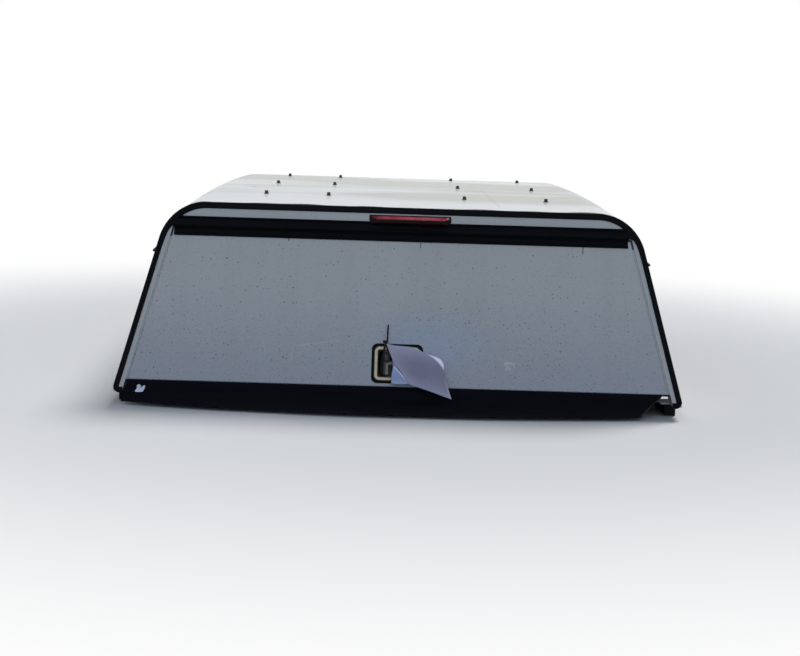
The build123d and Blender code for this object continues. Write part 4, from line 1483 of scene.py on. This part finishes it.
@dataclass
class Latch:
    """Pressed dish, T handle and the fastener that holds the skirt.

    The stud's rings are (radius, height), and the wing's corners are in millimetres.
    """

    workshop: Workshop
    round_points: int = 40
    stud_rings: tuple[Pair, ...] = (
        (0.0058, -0.0019), (0.0060, -0.0008), (0.0060, 0.0004), (0.0010, 0.0004)
    )
    wing_place: Pair = (0.0032, -0.0055)
    wing_base: float = 0.0008
    wing_rise: float = 0.0011
    wing_shrink: float = 0.16
    wing_corners: tuple[Pair, ...] = (
        (-13, -9.5), (0, -10), (8, -8.5), (12, -1.5), (14.5, 8), (12.5, 9.5), (8, 8.5),
        (4.5, 3.0), (2.5, 2.0), (1.0, 4.0), (1.5, 9.5), (-2.5, 9.5), (-7.5, 3), (-13.5, -6),
    )

    def build(self) -> None:
        """Round the dish's and the handle's edges, and make the fastener."""
        self.workshop.smooth("handle_dish", "rear_door", "dish_steel", 20.0)
        self.workshop.smooth("handle_tee", "latch_handle", "handle_black", 20.0)
        self.fastener()

    def stud(self) -> tuple[Array, list]:
        """The stud: rings about its middle.

        Returns:
            Its points and faces.
        """
        angle = np.linspace(0, 2 * math.pi, self.round_points, endpoint=False)
        rings = np.array(self.stud_rings)
        level = np.broadcast_to(rings[:, 1:], (len(rings), self.round_points))
        points = np.stack([rings[:, :1] * np.cos(angle), rings[:, :1] * np.sin(angle), level], -1)
        return points, tube_faces(*level.shape)

    def wing(self) -> tuple[Array, list]:
        """The wing over it: a slanting, notched outline, as rings that shrink upwards by a circle's arc.

        Returns:
            Its points and faces.
        """
        corners = MILLIMETRE * np.array(self.wing_corners) + self.wing_place
        inner = corners.mean(0)
        rise = np.linspace(0, math.pi / 2, 6)
        height = np.concatenate([[0.0], self.wing_base + self.wing_rise * np.sin(rise)])
        shrink = np.concatenate([[1.0], 1.0 - self.wing_shrink * (1 - np.cos(rise))])
        outline = inner + (corners - inner) * shrink[:, None, None]
        level = np.broadcast_to(height[:, None, None], (*outline.shape[:2], 1))
        return np.concatenate([outline, level], -1), tube_faces(*outline.shape[:2])

    def fastener(self) -> None:
        """A stud under a wing of zinc sheet, flat against the face in the middle of the solid's box."""
        low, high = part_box("skirt_fastener")
        middle = (np.array(low) + np.array(high)) / 2
        points, faces = joined([self.stud(), self.wing()])
        across = np.array([1.0, 0.0, 0.0])
        world = middle + points[:, :1] * across + points[:, 1:2] * FACE.up() + points[:, 2:] * FACE.out()
        piece = make_piece("skirt_stud", world, faces)
        fit_out(piece, "rear_door", "zinc", self.workshop.finish("zinc"), "skirt_fastener")


@dataclass
class CableTie:
    """Black cable tie that hangs from the T bar, with a loose loop, its head and a long tail."""

    workshop: Workshop
    width: float = 0.0046
    thickness: float = 0.0013
    level: float = 0.0186
    teeth: float = 0.00028
    top: float = 0.1545
    loop_rings: int = 150
    tail_rings: int = 90
    bar_rings: int = 60
    head_points: int = 16
    bar_centre: Triple = (-0.035, 0.1224, 0.0130)
    bar_half: Pair = (0.0076, 0.0053)
    head_centre: Pair = (-0.0382, 0.1532)
    head_half: Pair = (0.0072, 0.0040)

    def strap(self, path: Array, face: Array, taper: float) -> tuple[Array, list]:
        """A ribbed strap along a path.

        Each ring is a flat rectangle of eight points, square to the path. The front of every other ring
        stands a tooth's height higher, and the last tenth narrows.

        Args:
            path: points in the face's own axes.
            face: directions that the strap's flat side looks in, one for each point.
            taper: width left at the path's end, as a share.

        Returns:
            Its points and faces.
        """
        along = np.gradient(path, axis=0)
        along /= np.linalg.norm(along, axis=1, keepdims=True)
        aside = np.cross(along, face)
        aside /= np.linalg.norm(aside, axis=1, keepdims=True)
        above = np.cross(aside, along)
        place = np.linspace(0, 1, len(path))
        half = self.width / 2 * (1 - (1 - taper) * np.clip((place - 0.9) / 0.1, 0, 1))
        tooth = self.teeth * (np.arange(len(path)) % 2)
        across = np.array([-1.0, -0.6, 0.6, 1.0, 1.0, 0.6, -0.6, -1.0])
        height = np.array([0.5, 0.5, 0.5, 0.5, -0.5, -0.5, -0.5, -0.5])
        toothed = np.array([0.0, 1.0, 1.0, 0.0, 0, 0, 0, 0])
        lift = height[None, :] * self.thickness + tooth[:, None] * toothed[None, :]
        aside = aside[:, None] * (half[:, None] * across)[..., None]
        points = path[:, None] + aside + above[:, None] * lift[..., None]
        return points.reshape(-1, 3), tube_faces(len(path), len(across))

    def loop(self) -> tuple[Array, list]:
        """The loose loop, a teardrop.

        Its half width is the sine of the turn times a power of the sine of half the turn.

        Returns:
            Its points and faces.
        """
        turn = np.linspace(0.12, 2 * math.pi - 0.12, self.loop_rings)
        drop = 0.0555 * np.sin(turn / 2) ** 1.3
        across = self.head_centre[0] - 0.0090 * np.sin(turn) * np.sin(turn / 2) ** 0.6 + 0.09 * drop
        path = np.stack([across, self.top - drop, self.level + 0.0010 * np.cos(turn)], 1)
        face = np.stack([0.3 * np.sin(turn), np.zeros_like(turn), np.ones_like(turn)], 1)
        return self.strap(path, face, 1.0)

    def tail(self) -> tuple[Array, list]:
        """The tail, which leans a little to the right and sinks towards the door.

        Its distance out falls with the way up and rises with the square of that way.

        Returns:
            Its points and faces.
        """
        share = np.linspace(0, 1, self.tail_rings)
        out = self.level + 0.0008 - 0.0100 * share + 0.0075 * share**2
        path = np.stack([-0.0335 + 0.0016 * share, self.top + 0.0470 * share, out], 1)
        return self.strap(path, np.broadcast_to([0.0, 0.0, 1.0], path.shape), 0.45)

    def round_bar(self) -> tuple[Array, list]:
        """The part round the T bar: a circle over a power of its greater coordinate, a rounded square.

        Returns:
            Its points and faces.
        """
        turn = np.linspace(0, 2 * math.pi, self.bar_rings)
        squared = 1 / np.maximum(np.abs(np.cos(turn)), np.abs(np.sin(turn))) ** 0.8
        x, u, n = self.bar_centre
        across = x + self.bar_half[0] * np.clip(squared * np.cos(turn), -1, 1)
        out = n + self.bar_half[1] * np.clip(squared * np.sin(turn), -1, 1)
        face = np.stack([np.cos(turn), np.zeros_like(turn), np.sin(turn)], 1)
        return self.strap(np.stack([across, np.full_like(turn, u), out], 1), face, 1.0)

    def head(self) -> tuple[Array, list]:
        """The head: a rounded box of four rings, the outer two smaller.

        Returns:
            Its points and faces.
        """
        angle = np.linspace(0, 2 * math.pi, self.head_points, endpoint=False) + math.pi / self.head_points
        box = 1 / np.maximum(np.abs(np.cos(angle)), np.abs(np.sin(angle))) ** 0.85
        size = np.array([0.82, 1.0, 1.0, 0.82])[:, None]
        level = self.level + np.array([-0.0016, -0.0008, 0.0026, 0.0034])[:, None]
        across = self.head_centre[0] + self.head_half[0] * size * box * np.cos(angle)
        up = self.head_centre[1] + self.head_half[1] * size * box * np.sin(angle)
        return np.stack([across, up, np.broadcast_to(level, up.shape)], -1), tube_faces(*up.shape)

    def build(self) -> None:
        """Join the loop, the tail, the part round the bar and the head."""
        points, faces = joined([self.loop(), self.tail(), self.round_bar(), self.head()])
        world = FACE.point(points[:, 0], points[:, 1], points[:, 2])
        piece = make_piece("tie_strap", world, faces)
        fit_out(piece, "latch_handle", "black_plastic", self.workshop.finish("black_plastic"), "cable_tie")


# Stage


@dataclass(frozen=True)
class Studio:
    """Camera, soft lamps, pale floor and white background."""

    eye: Triple = (-0.0407, -5.080, 0.844)
    yaw: float = math.radians(0.55)
    pitch: float = math.radians(8.34)
    roll: float = math.radians(1.81)
    focal: float = 1577.0
    width: float = 800.0
    sensor: float = 36.0
    sky: Colour = (0.75, 0.865, 1.0)
    sky_strength: float = 0.178
    floor_half: float = 30.0
    floor_level: float = -0.0006
    floor_colour: Colour = (0.16, 0.17, 0.19)
    floor_seen: Colour = (0.93, 0.93, 0.94)
    floor_fade: Pair = (1.3, 3.2)

    @staticmethod
    def turned(right: Array, above: Array, back: Array, place: Triple = (0.0, 0.0, 0.0)) -> Matrix:
        """The matrix of an object from its own three axes and its place."""
        matrix = np.eye(4)
        matrix[:3] = np.stack([right, above, back, place], 1)
        return Matrix(matrix.tolist())

    def camera(self) -> None:
        """Place the camera: yaw to the right of +Y, pitch down, and a roll of the picture."""
        level = math.cos(self.pitch)
        forward = np.array([math.sin(self.yaw) * level, math.cos(self.yaw) * level, -math.sin(self.pitch)])
        right = np.array([math.cos(self.yaw), -math.sin(self.yaw), 0.0])
        above = np.cross(right, forward)
        across = math.cos(self.roll) * right + math.sin(self.roll) * above
        upright = -math.sin(self.roll) * right + math.cos(self.roll) * above
        data = bpy.data.cameras.new("photo_camera")
        data.sensor_width = self.sensor
        data.lens = self.focal * self.sensor / self.width
        camera = add_object("photo_camera", data)
        camera.matrix_world = self.turned(across, upright, -forward, self.eye)
        bpy.context.scene.camera = camera

    def lamp(self, name: str, direction: Triple, strength: float, spread: float, colour: Colour) -> None:
        """A soft distant lamp.

        Args:
            name: its name.
            direction: where it stands, seen from the canopy.
            strength: its strength.
            spread: its width in degrees.
            colour: its colour.
        """
        data = bpy.data.lights.new(name, "SUN")
        data.energy = strength
        data.angle = math.radians(spread)
        data.color = colour
        back = np.array(direction, float) / np.linalg.norm(direction)
        side = np.cross([0.0, 0.0, 1.0], back)
        side /= np.linalg.norm(side)
        add_object(name, data).matrix_world = self.turned(side, np.cross(back, side), back)

    def world(self) -> None:
        """White where the camera, a reflection or glass sees it, and a weak cool light elsewhere."""
        world = bpy.data.worlds.new("studio")
        bpy.context.scene.world = world
        world.use_nodes = True
        tree = world.node_tree
        tree.nodes.clear()
        path = tree.nodes.new("ShaderNodeLightPath")
        seen = path.outputs["Is Camera Ray"]
        for name in ("Is Glossy Ray", "Is Transmission Ray"):
            most = tree.nodes.new("ShaderNodeMath")
            most.operation = "MAXIMUM"
            tree.links.new(seen, most.inputs[0])
            tree.links.new(path.outputs[name], most.inputs[1])
            seen = most.outputs[0]
        weak, white = (tree.nodes.new("ShaderNodeBackground") for _ in range(2))
        weak.inputs["Color"].default_value = (*self.sky, 1.0)
        weak.inputs["Strength"].default_value = self.sky_strength
        white.inputs["Color"].default_value = (1.0, 1.0, 1.0, 1.0)
        mix = tree.nodes.new("ShaderNodeMixShader")
        output = tree.nodes.new("ShaderNodeOutputWorld")
        tree.links.new(seen, mix.inputs[0])
        tree.links.new(weak.outputs[0], mix.inputs[1])
        tree.links.new(white.outputs[0], mix.inputs[2])
        tree.links.new(mix.outputs[0], output.inputs["Surface"])

    def floor(self) -> None:
        """A pale floor that the camera sees nearly white and that throws little light back up.

        Away from the canopy it turns into plain white, which hides its edge.
        """
        shader = Shader("studio_floor", Roughness=0.9, Specular_IOR_Level=0.0)
        away = shader.node("ShaderNodeVectorMath", {"operation": "LENGTH"}, {0: shader.place()}, "Value")
        path = shader.node("ShaderNodeLightPath", output="Is Camera Ray")
        seen = path.most(path.sibling("Is Glossy Ray")).most(path.sibling("Is Transmission Ray"))
        shader.set(Base_Color=shader.mix(seen, self.floor_colour, self.floor_seen))
        white = shader.node("ShaderNodeEmission", {}, {"Color": (1.0, 1.0, 1.0), "Strength": 1.0})
        share = shader.step(away, *self.floor_fade) * seen
        surface = Value(shader, shader.surface.outputs[0])
        blended = shader.node("ShaderNodeMixShader", {}, {0: share, 1: surface, 2: white})
        shader.feed(shader.output.inputs["Surface"], blended)
        side = np.linspace(-self.floor_half, self.floor_half, 3)
        x, y = np.meshgrid(side, side)
        points = np.stack([x, y, np.full_like(x, self.floor_level)], -1)
        floor = make_piece("studio_floor", points, grid_faces(*x.shape), smooth=False)
        floor.data.materials.append(shader.material)

    def build(self) -> None:
        """Set up the camera, the lamps, the world and the floor."""
        self.camera()
        self.lamp("key", (0.35, 0.55, 0.90), 1.75, 24.0, (1.0, 0.985, 0.96))
        self.lamp("side", (-0.80, 0.50, 0.35), 0.60, 60.0, (0.95, 0.97, 1.0))
        self.lamp("fill", (0.10, -1.0, 0.45), 0.42, 70.0, (0.73, 0.855, 1.0))
        self.world()
        self.floor()
        bpy.context.scene.view_settings.view_transform = "Standard"


def main() -> None:
    """Build the scene.

    Three finishes belong to one piece each, and that piece's class makes them before any solid is dressed.
    """
    logging.basicConfig(level=logging.INFO, format="%(name)s: %(message)s")
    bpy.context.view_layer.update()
    Studio().build()
    workshop = Workshop()
    record = frame["record"]
    slots = {part["node"]: part["material_slot"] for part in record["subparts"]}
    notice, light, skirt = Notice(workshop), BrakeLight(workshop), Skirt(workshop)
    workshop.made.update(sheet_paper=notice.paper(), lens_red=light.lens(), skirt_rubber=skirt.rubber())
    workshop.dress_nodes(slots)
    LOG.info("%d solids dressed", len(slots))
    for assembly in (Moulding(workshop), EdgeTrim(workshop), light, skirt, notice,
                     RoofBolts(workshop), Latch(workshop), CableTie(workshop)):
        assembly.build()


if __name__ == "__main__":
    main()
